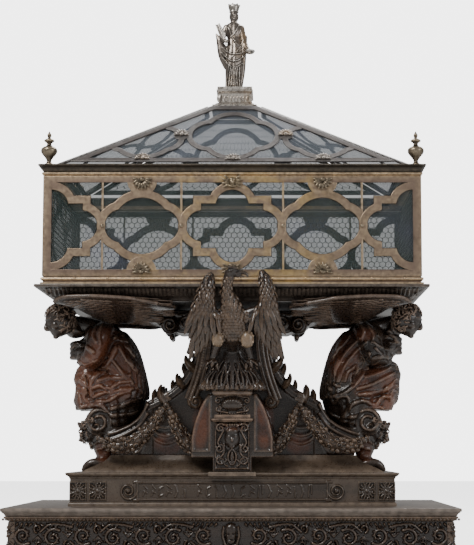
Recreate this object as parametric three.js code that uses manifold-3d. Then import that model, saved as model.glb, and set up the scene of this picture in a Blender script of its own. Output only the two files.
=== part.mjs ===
// Reliquary casket: a glazed brass casket with a hipped roof, carried by two kneeling angels and an
// eagle on a carved walnut stand. Millimetres, +Z up, the front faces -Y, origin under the middle of
// the lowest base. Each separate physical piece is one named mesh.
import * as THREE from "three";
import { mergeVertices } from "three/addons/utils/BufferGeometryUtils.js";
import Module from "manifold-3d";

const wasm = await Module();
wasm.setup();

// ---------------------------------------------------------------- driving dimensions
const GAP = 0.4; // air between pieces that touch
const AHEAD = 14.92; // the eagle's head stands this much past the base, halved front to back

const BASE = { halfX: 547, halfY: 277, foot: 30, frieze: 95, slab: 20, overhang: 17 };
const PLINTH = { halfX: 412, halfY: 172, block: 73, cornice: 12, glacis: 44 };
const BOARD = { halfX: 495, halfY: 267, cove: 65, height: 40, lip: 7 };
const CASKET = { halfX: 478, halfY: 250, sill: 22, rail: 16, stile: 22, cornice: 30, sheet: 4 };
const OPENING = { halfX: 456, halfY: 228, halfZ: 111 };
const ROOF = { halfX: 456, halfY: 228, top: 62, rise: 202, sheet: 4 };
const BAND = 19; // width of the tracery strap
const GLASS = 4;

const Z = {};
Z.slab = BASE.foot + BASE.frieze;
Z.plinth = Z.slab + BASE.slab;
Z.plinthTop = Z.plinth + PLINTH.block + PLINTH.cornice;
Z.stand = Z.plinthTop + PLINTH.glacis;
Z.soffit = 661;
Z.board = Z.soffit + BOARD.height;
Z.panel = Z.board + CASKET.sill;
Z.panelMid = Z.panel + CASKET.rail + OPENING.halfZ;
Z.cornice = Z.panelMid + OPENING.halfZ + CASKET.rail;
Z.eaves = Z.cornice + CASKET.cornice;
Z.cap = Z.eaves + ROOF.rise;

// ---------------------------------------------------------------- materials
const paint = (color, roughness, metalness) =>
  new THREE.MeshStandardMaterial({ color, roughness, metalness });
const walnut = paint(0x3a2416, 0.42, 0);
const brass = paint(0x9c7d4c, 0.38, 0.9);
const leadSilver = paint(0x8f8d92, 0.45, 0.85);
const silver = paint(0xb3aba2, 0.3, 0.95);
const bronze = paint(0x6f5f45, 0.4, 0.85);
const glass = new THREE.MeshStandardMaterial({
  color: 0xb9c4c6,
  roughness: 0.05,
  metalness: 0,
  transparent: true,
  opacity: 0.3,
});

// ---------------------------------------------------------------- solids
const V = (x, y, z) => new THREE.Vector3(x, y, z);

// A closed geometry as a solid that can be joined and cut.
function solid(geometry) {
  const bare = geometry.index ? geometry.toNonIndexed() : geometry.clone();
  const points = new THREE.BufferGeometry().setAttribute("position", bare.getAttribute("position"));
  const merged = mergeVertices(points, 1e-3);
  const mesh = { numProp: 3, vertProperties: merged.attributes.position.array };
  mesh.triVerts = new Uint32Array(merged.index.array);
  return new wasm.Manifold(new wasm.Mesh(mesh));
}

function geometryOf(body) {
  const mesh = body.getMesh();
  return new THREE.BufferGeometry()
    .setAttribute("position", new THREE.BufferAttribute(new Float32Array(mesh.vertProperties), 3))
    .setIndex(new THREE.BufferAttribute(new Uint32Array(mesh.triVerts), 1));
}

const fuse = (bodies) => bodies.reduce((sum, body) => sum.add(body));
const mirrorX = (body) => body.mirror([1, 0, 0]);
const mirrorY = (body) => body.mirror([0, 1, 0]);

function block(x0, x1, y0, y1, z0, z1) {
  const box = new THREE.BoxGeometry(x1 - x0, y1 - y0, z1 - z0);
  return solid(box.translate((x0 + x1) / 2, (y0 + y1) / 2, (z0 + z1) / 2));
}

// Rings of equal length, each an array of Vector3, joined into a closed skin with flat ends.
function loft(rings) {
  const n = rings[0].length;
  const positions = rings.flat().flatMap((p) => [p.x, p.y, p.z]);
  const faces = [];
  for (let r = 0; r < rings.length - 1; r++) {
    for (let i = 0; i < n; i++) {
      const j = (i + 1) % n;
      const [a, b, c, d] = [r * n + i, r * n + j, (r + 1) * n + j, (r + 1) * n + i];
      faces.push(a, b, c, a, c, d);
    }
  }
  const last = (rings.length - 1) * n;
  for (let i = 1; i < n - 1; i++) {
    faces.push(0, i + 1, i);
    faces.push(last, last + i, last + i + 1);
  }
  const geometry = new THREE.BufferGeometry();
  geometry.setAttribute("position", new THREE.Float32BufferAttribute(positions, 3));
  geometry.setIndex(faces);
  const body = solid(geometry);
  if (body.volume() > 0) return body;
  for (let i = 0; i < faces.length; i += 3) [faces[i], faces[i + 1]] = [faces[i + 1], faces[i]];
  return solid(geometry.setIndex(faces));
}

// A rectangular moulding or block: levels are [half length, half depth, height], from the bottom up.
function stack(levels) {
  return loft(levels.map(([hx, hy, z]) => [V(-hx, -hy, z), V(hx, -hy, z), V(hx, hy, z), V(-hx, hy, z)]));
}

// A round or oval limb through stations [x, y, z, radius across, radius deep]. `across` is the
// direction of the first radius. Flutes ripple the skin like folds of cloth.
function limb(stations, sides = 8, across = V(0, 1, 0), flutes = { count: 0, depth: 0 }) {
  const at = stations.map(([x, y, z]) => V(x, y, z));
  const rings = stations.map(([, , , wide, deep = wide], k) => {
    const ahead = at[Math.min(k + 1, at.length - 1)].clone();
    const along = ahead.sub(at[Math.max(k - 1, 0)]).normalize();
    const out = along.clone().cross(across).normalize();
    const side = out.clone().cross(along).normalize();
    return Array.from({ length: sides }, (_, i) => {
      const angle = (2 * Math.PI * i) / sides;
      const ripple = 1 + flutes.depth * Math.cos(flutes.count * angle);
      const point = at[k].clone().addScaledVector(side, wide * ripple * Math.cos(angle));
      return point.addScaledVector(out, deep * ripple * Math.sin(angle));
    });
  });
  return loft(rings);
}

function ball(x, y, z, rx, ry, rz, wide = 8, high = 5, turnY = 0) {
  const sphere = new THREE.SphereGeometry(1, wide, high).rotateX(Math.PI / 2).scale(rx, ry, rz);
  return solid(sphere.rotateY(turnY).translate(x, y, z));
}

// A turned piece: profile is [radius, height] from the axis at the bottom to the axis at the top.
function turned(profile, sides, x, y, z) {
  const points = profile.map(([r, h]) => new THREE.Vector2(r, h));
  return solid(new THREE.LatheGeometry(points, sides).rotateX(Math.PI / 2).translate(x, y, z));
}

// A flat plate from an outline of [u, v] points, `thick` deep, lying in u-v with w upwards.
function plate(outline, thick) {
  const shape = new THREE.Shape(outline.map(([u, v]) => new THREE.Vector2(u, v)));
  return solid(new THREE.ExtrudeGeometry(shape, { depth: thick, bevelEnabled: false }));
}

const circle = (cu, cv, r, n) =>
  Array.from({ length: n }, (_, i) => {
    const angle = (2 * Math.PI * (i + 0.5)) / n;
    return [cu + r * Math.cos(angle), cv + r * Math.sin(angle)];
  });
const rectangle = (u0, u1, v0, v1) => [[u0, v0], [u1, v0], [u1, v1], [u0, v1]];

// Moves a plate made in u-v-w to the frame whose axes and corner are given.
function placed(body, u, v, origin) {
  const w = u.clone().cross(v);
  const m = new THREE.Matrix4().makeBasis(u, v, w).setPosition(origin);
  return body.transform(m.elements);
}

// ---------------------------------------------------------------- the object
const object = new THREE.Group();
function piece(name, body, material) {
  const mesh = new THREE.Mesh(geometryOf(body.translate([0, AHEAD, 0])), material);
  mesh.name = name;
  object.add(mesh);
  return mesh;
}

// ---------------------------------------------------------------- lowest base, with a vine frieze
const VINE = { relief: 7, waves: 6, width: 13, boss: 15 };

// A running vine for the front, `half` long each way: one wavy stem and a boss in each bend.
function vine(half, waves) {
  const height = BASE.frieze / 2;
  const reach = BASE.frieze * 0.25;
  const steps = waves * 4;
  const stem = (side) =>
    Array.from({ length: steps + 1 }, (_, i) => {
      const u = -half + (2 * half * i) / steps;
      return [u, height + reach * Math.sin((Math.PI * i) / 2) + (side * VINE.width) / 2];
    });
  const bodies = [plate([...stem(-1), ...stem(1).reverse()], VINE.relief + 1)];
  for (let i = 0; i < 2 * waves; i++) {
    const up = i % 2 ? 1 : -1;
    const u = -half + (half * (i + 0.5)) / waves;
    bodies.push(plate(circle(u, height + up * reach * 0.55, VINE.boss, 4), VINE.relief + 1));
  }
  return fuse(bodies);
}

function baseChest() {
  const { halfX, halfY, foot } = BASE;
  const top = Z.slab - GAP;
  const bodies = [
    stack([[halfX + 10, halfY + 10, 0], [halfX + 10, halfY + 10, foot * 0.6], [halfX, halfY, foot],
      [halfX, halfY, top - 8], [halfX + 7, halfY + 7, top]]),
    ball(0, -halfY - 1, foot + BASE.frieze * 0.55, 22, 12, 31, 7, 5),
  ];
  const long = vine(halfX - 14, VINE.waves);
  bodies.push(placed(long, V(1, 0, 0), V(0, 0, 1), V(0, -halfY + 1, foot)));
  return fuse(bodies);
}
piece("base_chest", baseChest(), walnut);

function baseTop() {
  const [hx, hy] = [BASE.halfX + BASE.overhang, BASE.halfY + BASE.overhang];
  return stack([[hx - 9, hy - 9, Z.slab], [hx, hy, Z.slab + 6], [hx, hy, Z.slab + 15],
    [hx - 5, hy - 5, Z.plinth]]);
}
piece("base_top", baseTop(), walnut);

// ---------------------------------------------------------------- plinth with its tablet
function plinth() {
  const { halfX, halfY, block: tall, glacis } = PLINTH;
  const z = Z.plinth + GAP;
  const shelf = z + tall;
  const body = stack([[halfX + 4, halfY + 4, z], [halfX + 4, halfY + 4, z + 7], [halfX, halfY, z + 10],
    [halfX, halfY, shelf], [halfX + 9, halfY + 9, shelf + 8], [halfX + 11, halfY + 11, Z.plinthTop]]);
  const slant = stack([[391, 140, Z.plinthTop - 1], [336, 112, Z.plinthTop + glacis * 0.6],
    [316, 104, Z.stand]]);
  const pierStep = block(-60, 60, -214, -120, shelf + 3, Z.plinthTop + 2);
  const scrolls = [-1, 1].map((end) =>
    placed(plate(circle(0, 0, 25, 7), 7), V(1, 0, 0), V(0, 0, 1), V(end * 264, -halfY + 2, z + 36)));
  const tablet = block(-248, 248, -halfY - 5, -halfY + 2, z + 12, z + 64);
  const squares = [-391, -341, 341, 391].map((x) =>
    block(x - 21, x + 21, -halfY - 4, -halfY + 2, z + 14, z + 62));
  return fuse([body, slant, pierStep, tablet, ...scrolls, ...squares]);
}
piece("plinth", plinth(), walnut);

// ---------------------------------------------------------------- scrolled stand and pier
const STAND = { halfY: 92 };
const PIER = { half: 49, front: -200, back: -120, top: 436 };

// A board of the stand: an outline of [x, z] points, `reach` to the front and to the back.
function board(outline, reach) {
  return placed(plate(outline, 2 * reach), V(1, 0, 0), V(0, 0, 1), V(0, reach, 0));
}

// A strap of constant width that follows [x, z] points.
function strap(points, half) {
  const n = points.length;
  const side = (s) => points.map(([x, z], i) => {
    const [a, b] = [points[Math.max(i - 1, 0)], points[Math.min(i + 1, n - 1)]];
    const length = Math.hypot(b[0] - a[0], b[1] - a[1]);
    return [x - (s * half * (b[1] - a[1])) / length, z + (s * half * (b[0] - a[0])) / length];
  });
  return [...side(1), ...side(-1).reverse()];
}

// The right half of the back board, from the glacis up along the leafy crest to the casket board.
const CREST = [[110, 654], [102, 595], [100, 562], [121, 552], [106, 532], [134, 522], [118, 498],
  [154, 492], [136, 470], [166, 462], [158, 440], [196, 447], [196, 425], [228, 416]];
const SEAT = [[236, 394], [252, 370], [274, 354], [302, 346], [330, 350], [346, 364], [352, 378]];

function backBoard() {
  const outline = [[-2, Z.stand + GAP], [314, Z.stand + GAP], [330, 300], [352, 378],
    ...SEAT.slice().reverse().slice(1), ...CREST.slice().reverse(), [-2, 654]];
  return board(outline, STAND.halfY);
}

function lionFoot() {
  const floor = Z.plinthTop + GAP;
  const head = [
    board(circle(352, 362, 38, 8), 96),
    ball(372, 0, 330, 34, 52, 30, 6, 5),
    limb([[376, 0, 334, 44, 24], [398, 0, 322, 34, 18], [408, 0, 312, 20, 10]], 6),
    limb([[384, 34, 350, 13], [406, 40, 344, 11], [408, 40, 356, 5]], 5),
    limb([[384, -34, 350, 13], [406, -40, 344, 11], [408, -40, 356, 5]], 5),
  ];
  const leg = [
    limb([[344, 0, 330, 60, 34], [350, 0, 292, 50, 26], [342, 0, 262, 44, 22], [346, 0, floor, 48, 26]], 6),
    limb([[330, 0, 248, 56, 16], [366, 0, 250, 62, 15], [390, 0, 243, 54, 9]], 6),
  ];
  return fuse([...head, ...leg]);
}

function stand() {
  const scroll = board(strap([[84, 652], [78, 600], [82, 542], [102, 480], [140, 432]], 12), 118);
  const volute = board(circle(116, 421, 27, 8), 128);
  const knot = board(circle(172, 402, 15, 5), 136);
  const bracket = [
    board([[104, 657], [104, 600], [140, 594], [158, 600], [196, 612], [204, 622], [250, 626],
      [250, 634], [200, 642], [188, 657]], 60),
    board(circle(170, 616, 24, 7), 74),
    ball(167, 0, 590, 8, 30, 11, 5, 4),
  ];
  const half = fuse([backBoard(), scroll, volute, knot, ...bracket, lionFoot()]);
  const cheek = block(-104, 104, PIER.back + 2, 110, Z.stand + GAP, 430);
  const slant = stack([[392, 141, Z.plinthTop - 1], [337, 113, Z.plinthTop + PLINTH.glacis * 0.6],
    [317, 105, Z.stand + GAP]]);
  const floor = block(-460, 460, -200, 200, 200, Z.plinthTop + GAP);
  return fuse([half, mirrorX(half), cheek]).subtract(slant).subtract(floor);
}
piece("scrolled_stand", stand(), walnut);

function pier() {
  const { half, front, back, top } = PIER;
  const foot = Z.plinthTop + 2 + GAP;
  const level = (hx, y, z) => [V(-hx, y, z), V(hx, y, z), V(hx, back, z), V(-hx, back, z)];
  const shaft = loft([level(half, front, foot), level(half, front, 358), level(half + 3, front - 9, 364),
    level(half + 3, front - 9, 371), level(half - 4, front + 3, 376), level(half - 4, front + 3, 426),
    level(half, front - 3, top)]);
  const carving = [
    ball(0, front - 1, 318, 21, 14, 27, 7, 5),
    ball(0, front + 2, 403, 29, 12, 17, 7, 5),
  ];
  const curls = [[34, 342], [36, 292], [32, 262]].map(([x, z]) =>
    placed(plate(circle(x, z, 12, 6), 9), V(1, 0, 0), V(0, 0, 1), V(0, front + 2, 0)));
  const notch = fuse([block(-90, 90, -142, -90, 200, Z.stand + 2),
    block(-90, 90, PIER.back + 1, -90, 200, 470)]);
  return fuse([shaft, ...carving, ...curls, ...curls.map(mirrorX)]).subtract(notch);
}
piece("pier", pier(), walnut);

// ---------------------------------------------------------------- fruit garlands
// A sagging swag between two points, thickest in the middle, with a ripple of fruit.
function garland(x0, z0, x1, z1, sag, y) {
  const steps = 5;
  const stations = Array.from({ length: steps + 1 }, (_, i) => {
    const t = i / steps;
    const drop = 4 * sag * t * (1 - t);
    const radius = 9 + 12 * Math.sin(Math.PI * t) + (i % 2 ? 2 : -1);
    return [x0 + (x1 - x0) * t, y, z0 + (z1 - z0) * t - drop, radius];
  });
  return limb(stations, 6);
}
const GARLAND_Y = -142;
const outerGarland = garland(184, 384, 336, 312, 44, GARLAND_Y);
const innerGarland = garland(66, 296, 160, 384, 40, GARLAND_Y);
for (const [name, body] of [["outer", outerGarland], ["inner", innerGarland]]) {
  piece(`garland_${name}_right`, body, walnut);
  piece(`garland_${name}_left`, mirrorX(body), walnut);
  piece(`garland_${name}_back_right`, mirrorY(body), walnut);
  piece(`garland_${name}_back_left`, mirrorX(mirrorY(body)), walnut);
}

// ---------------------------------------------------------------- eagle
const EAGLE_WING = [
  [62, -294, 718, 10, 8], [67, -296, 702, 21, 11], [77, -290, 660, 29, 12], [84, -278, 618, 35, 11],
  [92, -262, 580, 26, 9], [104, -246, 548, 18, 8], [120, -234, 512, 6, 5],
];

function eagle() {
  const trunk = limb([[0, -210, 545, 24, 18], [0, -240, 574, 36, 28], [0, -262, 618, 38, 32],
    [0, -288, 664, 24, 20], [0, -302, 698, 18, 16], [3, -308, 724, 16, 15]], 8, V(1, 0, 0));
  const head = [
    ball(8, -309, 723, 19, 16, 15, 7, 5),
    limb([[18, -310, 724, 9, 7], [36, -312, 722, 7, 4], [44, -312, 711, 2, 2]], 5),
  ];
  const half = [
    limb(EAGLE_WING, 6, V(1, 0, 0)),
    limb([[18, -262, 622, 22, 16], [46, -284, 656, 16, 12], [62, -294, 700, 12, 10]], 5, V(0, 0, 1)),
    ball(35, -250, 558, 15, 18, 21, 7, 5),
    limb([[36, -248, 545, 11], [48, -232, 512, 8], [54, -226, 498, 9]], 5),
    ball(55, -222, 502, 16, 18, 9, 6, 4),
  ];
  const fan = limb([[0, -196, 556, 30, 18], [0, -188, 512, 44, 30], [0, -190, 470, 64, 34],
    [0, -188, PIER.top + 2, 88, 40]], 12, V(1, 0, 0), { count: 6, depth: 0.07 });
  const right = fuse(half);
  const backing = block(-160, 160, -118 - GAP, 0, 400, 760);
  return fuse([trunk, ...head, right, mirrorX(right), fan]).subtract(backing);
}
piece("eagle", eagle(), walnut);

// ---------------------------------------------------------------- kneeling angels
// The near wing: at each x the leading edge [y, z], the trailing edge [y, z] and the thickness.
const ANGEL_WING = [
  [456, -150, 650, -96, 628, 9], [434, -226, 664, -66, 618, 13], [388, -262, 672, -54, 612, 14],
  [330, -264, 672, -48, 608, 14], [264, -258, 668, -60, 610, 11], [238, -250, 664, -118, 634, 8],
  [190, -236, 657, -160, 642, 6], [144, -216, 650, -196, 645, 4],
];

function angelWing() {
  const sides = 6;
  return loft(ANGEL_WING.map(([x, y0, z0, y1, z1, thick]) => {
    const out = V(0, (y0 - y1) / 2, (z0 - z1) / 2);
    const up = V(0, z0 - z1, y1 - y0).normalize();
    return Array.from({ length: sides }, (_, i) => {
      const angle = (2 * Math.PI * i) / sides;
      const point = V(x, (y0 + y1) / 2, (z0 + z1) / 2).addScaledVector(out, Math.cos(angle));
      return point.addScaledVector(up, thick * Math.sin(angle));
    });
  }));
}

// The two angels differ a little in how far the head, fists and knees reach.
const POSE = {
  left: { head: [470, 632], fists: [414, 552], elbow: 372, knee: [400, 474] },
  right: { head: [460, 634], fists: [420, 566], elbow: 378, knee: [404, 484] },
};

function angel({ head, fists, elbow, knee }) {
  const torso = limb([[300, 0, 400, 70, 60], [298, 0, 440, 84, 66], [300, 0, 490, 82, 56],
    [318, 0, 545, 80, 54], [344, 0, 590, 66, 38], [390, 0, 618, 28, 24],
    [head[0] - 10, 0, head[1] - 4, 24, 24]], 8);
  const skull = ball(head[0], 0, head[1], 36, 36, 40, 8, 6, 0.5);
  const side = [
    limb([[340, -56, 606, 22], [352, -72, 584, 32], [elbow, -84, 528, 26],
      [fists[0] - 22, -52, fists[1] - 20, 20], [fists[0], -18, fists[1], 16]], 5),
    limb([[296, -44, 432, 44, 48], [360, -48, 462, 46, 42], [knee[0], -46, knee[1], 38, 32]], 6),
    limb([[knee[0], -46, knee[1] + 14, 33, 28], [knee[0] + 2, -44, 440, 34, 25], [396, -42, 402, 30, 25]], 6),
    angelWing(),
  ];
  const hands = ball(fists[0], 0, fists[1], 33, 28, 38, 7, 5);
  const skirt = limb([[340, 0, 500, 62, 62], [334, 0, 440, 92, 86], [324, 0, 372, 92, 60]], 12, V(0, 1, 0),
    { count: 6, depth: 0.05 });
  const near = fuse(side);
  return fuse([torso, skull, near, mirrorY(near), hands, skirt]);
}

// The underside of the angel is hollowed to sit on the scroll, and its wings stay under the board.
function seatedAngel(pose) {
  const seat = fuse([
    board([[150, 250], [352, 250], ...SEAT.slice().reverse().map(([x, z]) => [x + 0.6, z + 0.6]),
      [231, 412], [229, 418], [150, 418]], 260),
    board(circle(352, 362, 38.8, 8), 260),
    board([[352, 240], [470, 240], [470, 388], [352, 396]], 260),
  ]);
  const { halfX, halfY, cove, height } = BOARD;
  const level = (inset, z) => [halfX - cove * inset + 1, halfY - cove * inset + 1, Z.soffit + z];
  const under = stack([level(1, -0.6), level(0.82, 4), level(0.5, 10), level(0.09, height - 9),
    level(0, height - 9), level(0, 200)]);
  return angel(pose).subtract(seat).subtract(under);
}
piece("angel_right", seatedAngel(POSE.right), walnut);
piece("angel_left", mirrorX(seatedAngel(POSE.left)), walnut);

// ---------------------------------------------------------------- casket board
function casketBoard() {
  const { halfX, halfY, cove, lip } = BOARD;
  const z = Z.soffit + GAP;
  const top = Z.board - GAP;
  return stack([[halfX - cove, halfY - cove, z], [halfX - cove * 0.82, halfY - cove * 0.82, z + 5],
    [halfX - cove * 0.5, halfY - cove * 0.5, z + 11], [halfX - 6, halfY - 6, top - lip - 1],
    [halfX, halfY, top - lip], [halfX, halfY, top]]);
}
piece("casket_board", casketBoard(), walnut);

// ---------------------------------------------------------------- casket walls
// Tracery cells, each an outline grown by `grow`: a stepped quatrefoil and a lobed circle.
function steppedCell(u, v, grow) {
  const lobe = (du, dv, r) => plate(circle(u + du, v + dv, r + grow, 8), CASKET.sheet);
  return fuse([
    plate(rectangle(u - 79 - grow, u + 79 + grow, v - 57.5 - grow, v + 57.5 + grow), CASKET.sheet),
    lobe(0, 50.5, 42.5), lobe(0, -50.5, 42.5), lobe(76.5, 0, 40), lobe(-76.5, 0, 40),
  ]);
}

function roundCell(u, v, grow, scale = 1) {
  const lobe = (du, r, n) => plate(circle(u + du * scale, v, r * scale + grow, n), CASKET.sheet);
  return fuse([lobe(0, 72.5, 10), lobe(51, 43, 6), lobe(-51, 43, 6)]);
}

const CELL = { stepped: 257, round: 199 };

// A pierced wall of half length `half`: [kind, centre] cells, a boss above and below each centre,
// and a glazing bar wherever two cells meet.
function wallSheet(half, opening, cells, bars) {
  const make = (grow) =>
    fuse(cells.map(([kind, u]) => (kind === "stepped" ? steppedCell : roundCell)(u, 0, grow)));
  const { halfZ } = OPENING;
  const outer = plate(rectangle(-half, half, -halfZ - CASKET.rail, halfZ + CASKET.rail), CASKET.sheet);
  const hole = plate(rectangle(-opening, opening, -halfZ, halfZ), CASKET.sheet);
  const extras = cells.filter(([kind]) => kind === "round").flatMap(([, u]) =>
    [-1, 1].map((up) => plate(circle(u, up * 115, 37.5, 7), CASKET.sheet)));
  const rods = bars.map((u) => plate(rectangle(u - 2.5, u + 2.5, -halfZ - 2, halfZ + 2), CASKET.sheet));
  const straps = fuse([make(BAND), ...extras, ...rods]).subtract(make(0));
  return outer.subtract(hole).add(straps.intersect(outer));
}

// Cast bosses, here plain discs, that sit over the sheet at [u, v].
const bosses = (spots, radius) =>
  spots.map(([u, v]) => plate(circle(u, v, radius, 6), CASKET.sheet + 7));

function longWall() {
  const round = (CELL.stepped + CELL.round) / 2;
  const cells = [["stepped", 0], ["round", round], ["round", -round], ["stepped", OPENING.halfX],
    ["stepped", -OPENING.halfX]];
  const node = CELL.stepped / 2;
  const sheet = wallSheet(CASKET.halfX, OPENING.halfX, cells,
    [node, -node, node + CELL.round, -node - CELL.round]);
  const spots = [0, round, -round].flatMap((u) => [[u, 110], [u, -110]]);
  return fuse([sheet, ...bosses(spots, 15)]);
}

function shortWall() {
  const inside = CASKET.halfY - CASKET.sheet - GAP;
  const node = CELL.round / 2;
  const cells = [["round", 0], ["stepped", OPENING.halfY], ["stepped", -OPENING.halfY]];
  const sheet = wallSheet(inside, OPENING.halfY, cells, [node, -node]);
  return fuse([sheet, ...bosses([[0, 110], [0, -110]], 15)]);
}

const wallZ = Z.panelMid;
const longFace = CASKET.halfY - CASKET.sheet;
const shortFace = CASKET.halfX - CASKET.sheet;
piece("wall_front", placed(longWall(), V(1, 0, 0), V(0, 0, 1), V(0, -longFace, wallZ)), brass);
piece("wall_back", placed(longWall(), V(-1, 0, 0), V(0, 0, 1), V(0, longFace, wallZ)), brass);
piece("wall_right", placed(shortWall(), V(0, 1, 0), V(0, 0, 1), V(shortFace, 0, wallZ)), brass);
piece("wall_left", placed(shortWall(), V(0, -1, 0), V(0, 0, 1), V(-shortFace, 0, wallZ)), brass);

// Panes stand just behind the tracery.
const paneHalfZ = OPENING.halfZ + CASKET.rail - 1;
const paneY = longFace - GAP;
const paneX = shortFace - GAP;
const paneSpan = paneX - GLASS - GAP;
const paneLow = wallZ - paneHalfZ;
const paneHigh = wallZ + paneHalfZ;
piece("pane_front", block(-paneX, paneX, -paneY, -paneY + GLASS, paneLow, paneHigh), glass);
piece("pane_back", block(-paneX, paneX, paneY - GLASS, paneY, paneLow, paneHigh), glass);
const paneEnd = paneY - GLASS - GAP;
piece("pane_right", block(paneX - GLASS, paneX, -paneEnd, paneEnd, paneLow, paneHigh), glass);
piece("pane_left", block(-paneX, -paneX + GLASS, -paneEnd, paneEnd, paneLow, paneHigh), glass);

// The sill is a moulded tray that closes the casket below; the cornice is an open moulded frame.
function sill() {
  const { halfX, halfY } = CASKET;
  const z = Z.board;
  const tray = stack([[halfX + 4, halfY + 4, z], [halfX + 4, halfY + 4, z + 5], [halfX, halfY, z + 7],
    [halfX, halfY, z + 13], [halfX + 4, halfY + 4, z + 16], [halfX + 4, halfY + 4, z + 20],
    [halfX, halfY, Z.panel - GAP]]);
  const well = block(-halfX + 14, halfX - 14, -halfY + 14, halfY - 14, z + 9, z + 60);
  return tray.subtract(well);
}
piece("casket_sill", sill(), brass);

function cornice() {
  const { halfX, halfY } = CASKET;
  const z = Z.cornice + GAP;
  const top = Z.eaves - GAP;
  const frame = stack([[halfX + 1, halfY + 1, z], [halfX + 4, halfY + 4, z + 4], [halfX + 1, halfY + 1, z + 9],
    [halfX + 3, halfY + 3, z + 17], [halfX + 10, halfY + 10, top - 4], [halfX + 11, halfY + 11, top]]);
  const well = block(-halfX + 40, halfX - 40, -halfY + 40, halfY - 40, z - 20, top + 20);
  return frame.subtract(well);
}
piece("casket_cornice", cornice(), brass);

// ---------------------------------------------------------------- roof
const RIB = 7;

function roofFrame() {
  const { halfX, halfY, top } = ROOF;
  const z = Z.eaves;
  const ring = stack([[halfX - 1, halfY - 1, z], [halfX - 1, halfY - 1, z + 4], [halfX - 3, halfY - 3, z + 5]])
    .subtract(block(14 - halfX, halfX - 14, 14 - halfY, halfY - 14, z - 5, z + 20));
  const cap = block(-top, top, -top, top, Z.cap - 6, Z.cap - GAP);
  const rib = limb([[halfX - 9, halfY - 9, z + 2, RIB], [top - 4, top - 4, Z.cap - 3, RIB]], 5);
  const reach = block(1 - halfX, halfX - 1, 1 - halfY, halfY - 1, z, Z.cap - GAP);
  return fuse([ring, cap, rib, mirrorX(rib), mirrorY(rib), mirrorX(mirrorY(rib))]).intersect(reach);
}
piece("roof_frame", roofFrame(), leadSilver);

// A roof slope as a trapezium in its own plane: half width at the eaves and at the cap, and length.
function slope(eaves, run) {
  return { eaves, top: ROOF.top, length: Math.hypot(run, ROOF.rise), run };
}
const LONG_SLOPE = slope(ROOF.halfX, ROOF.halfY - ROOF.top);
const SHORT_SLOPE = slope(ROOF.halfY, ROOF.halfX - ROOF.top);

// The trapezium of a slope, drawn in by `inset` from its eaves, cap and hips.
function slopeOutline({ eaves, top, length }, inset) {
  const lean = Math.hypot(length, eaves - top) / length;
  const half = (v) => eaves - ((eaves - top) * v) / length - inset * lean;
  return [[-half(inset), inset], [half(inset), inset], [half(length - inset), length - inset],
    [-half(length - inset), length - inset]];
}

function lobedCell(u, v, grow, scale = 1) {
  const lobe = (du, dv, r) =>
    plate(circle(u + du * scale, v + dv * scale, r * scale + grow, 8), ROOF.sheet);
  return fuse([lobe(0, 22, 65), lobe(0, -22, 65), lobe(57, 0, 51), lobe(-57, 0, 51)]);
}

const SLOPE_EDGE = { inset: 12, band: 15 };

function slopeSheet(form, cells, discs) {
  const outer = plate(slopeOutline(form, SLOPE_EDGE.inset), ROOF.sheet);
  const hole = plate(slopeOutline(form, SLOPE_EDGE.inset + SLOPE_EDGE.band), ROOF.sheet);
  const make = (grow) => fuse(cells.map(([cell, u, v, scale]) => cell(u, v, grow, scale)));
  const knots = discs.map(([u, v, r]) => plate(circle(u, v, r, 6), ROOF.sheet));
  const straps = fuse([make(17).subtract(make(0)), ...knots]);
  return fuse([outer.subtract(hole), straps.intersect(outer)]);
}

const longSlope = slopeSheet(LONG_SLOPE,
  [[lobedCell, 0, 122, 1], [roundCell, 232, 108, 0.95], [roundCell, -232, 108, 0.95]],
  [[136, 126, 21], [-136, 126, 21], [232, 30, 17], [-232, 30, 17]]);
const shortSlope = slopeSheet(SHORT_SLOPE,
  [[lobedCell, 0, 118, 1.08], [roundCell, 0, 270, 0.57]],
  [[140, 100, 18], [-140, 100, 18], [85, 262, 18], [-85, 262, 18], [0, 221, 15]]);

// Stands a slope's plate on the roof. `along` is the eaves direction, `inward` points to the middle.
function onRoof(body, { run, length }, along, inward, eavesAt, sink) {
  const up = inward.clone().multiplyScalar(run / length).add(V(0, 0, ROOF.rise / length));
  const origin = inward.clone().multiplyScalar(-eavesAt).add(V(0, 0, Z.eaves + 6));
  origin.addScaledVector(along.clone().cross(up), -sink);
  return placed(body, along, up, origin);
}

const SLOPES = [
  ["front", LONG_SLOPE, longSlope, V(1, 0, 0), V(0, 1, 0), ROOF.halfY],
  ["back", LONG_SLOPE, longSlope, V(-1, 0, 0), V(0, -1, 0), ROOF.halfY],
  ["right", SHORT_SLOPE, shortSlope, V(0, 1, 0), V(-1, 0, 0), ROOF.halfX],
  ["left", SHORT_SLOPE, shortSlope, V(0, -1, 0), V(1, 0, 0), ROOF.halfX],
];
for (const [name, form, sheet, along, inward, eavesAt] of SLOPES) {
  const pane = plate(slopeOutline(form, SLOPE_EDGE.inset + 5), GLASS - 1);
  piece(`roof_${name}`, onRoof(sheet, form, along, inward, eavesAt, ROOF.sheet), leadSilver);
  piece(`roof_pane_${name}`, onRoof(pane, form, along, inward, eavesAt, ROOF.sheet + GLASS), glass);
}

// ---------------------------------------------------------------- finials
const FINIAL = [[0, 0], [9, 0], [10, 5], [6, 10], [21, 36], [18, 45], [6, 55], [13, 64], [4, 70],
  [6, 78], [0, 88]];
const finialX = CASKET.halfX - 12;
const finialY = CASKET.halfY - 12;
for (const [front, sy] of [["front", -1], ["back", 1]]) {
  for (const [side, sx] of [["left", -1], ["right", 1]]) {
    piece(`finial_${front}_${side}`, turned(FINIAL, 6, sx * finialX, sy * finialY, Z.eaves), bronze);
  }
}

// ---------------------------------------------------------------- silver pedestal and saint
const PEDESTAL = { height: 57, foot: 60, neck: 42, slab: 49 };

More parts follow.
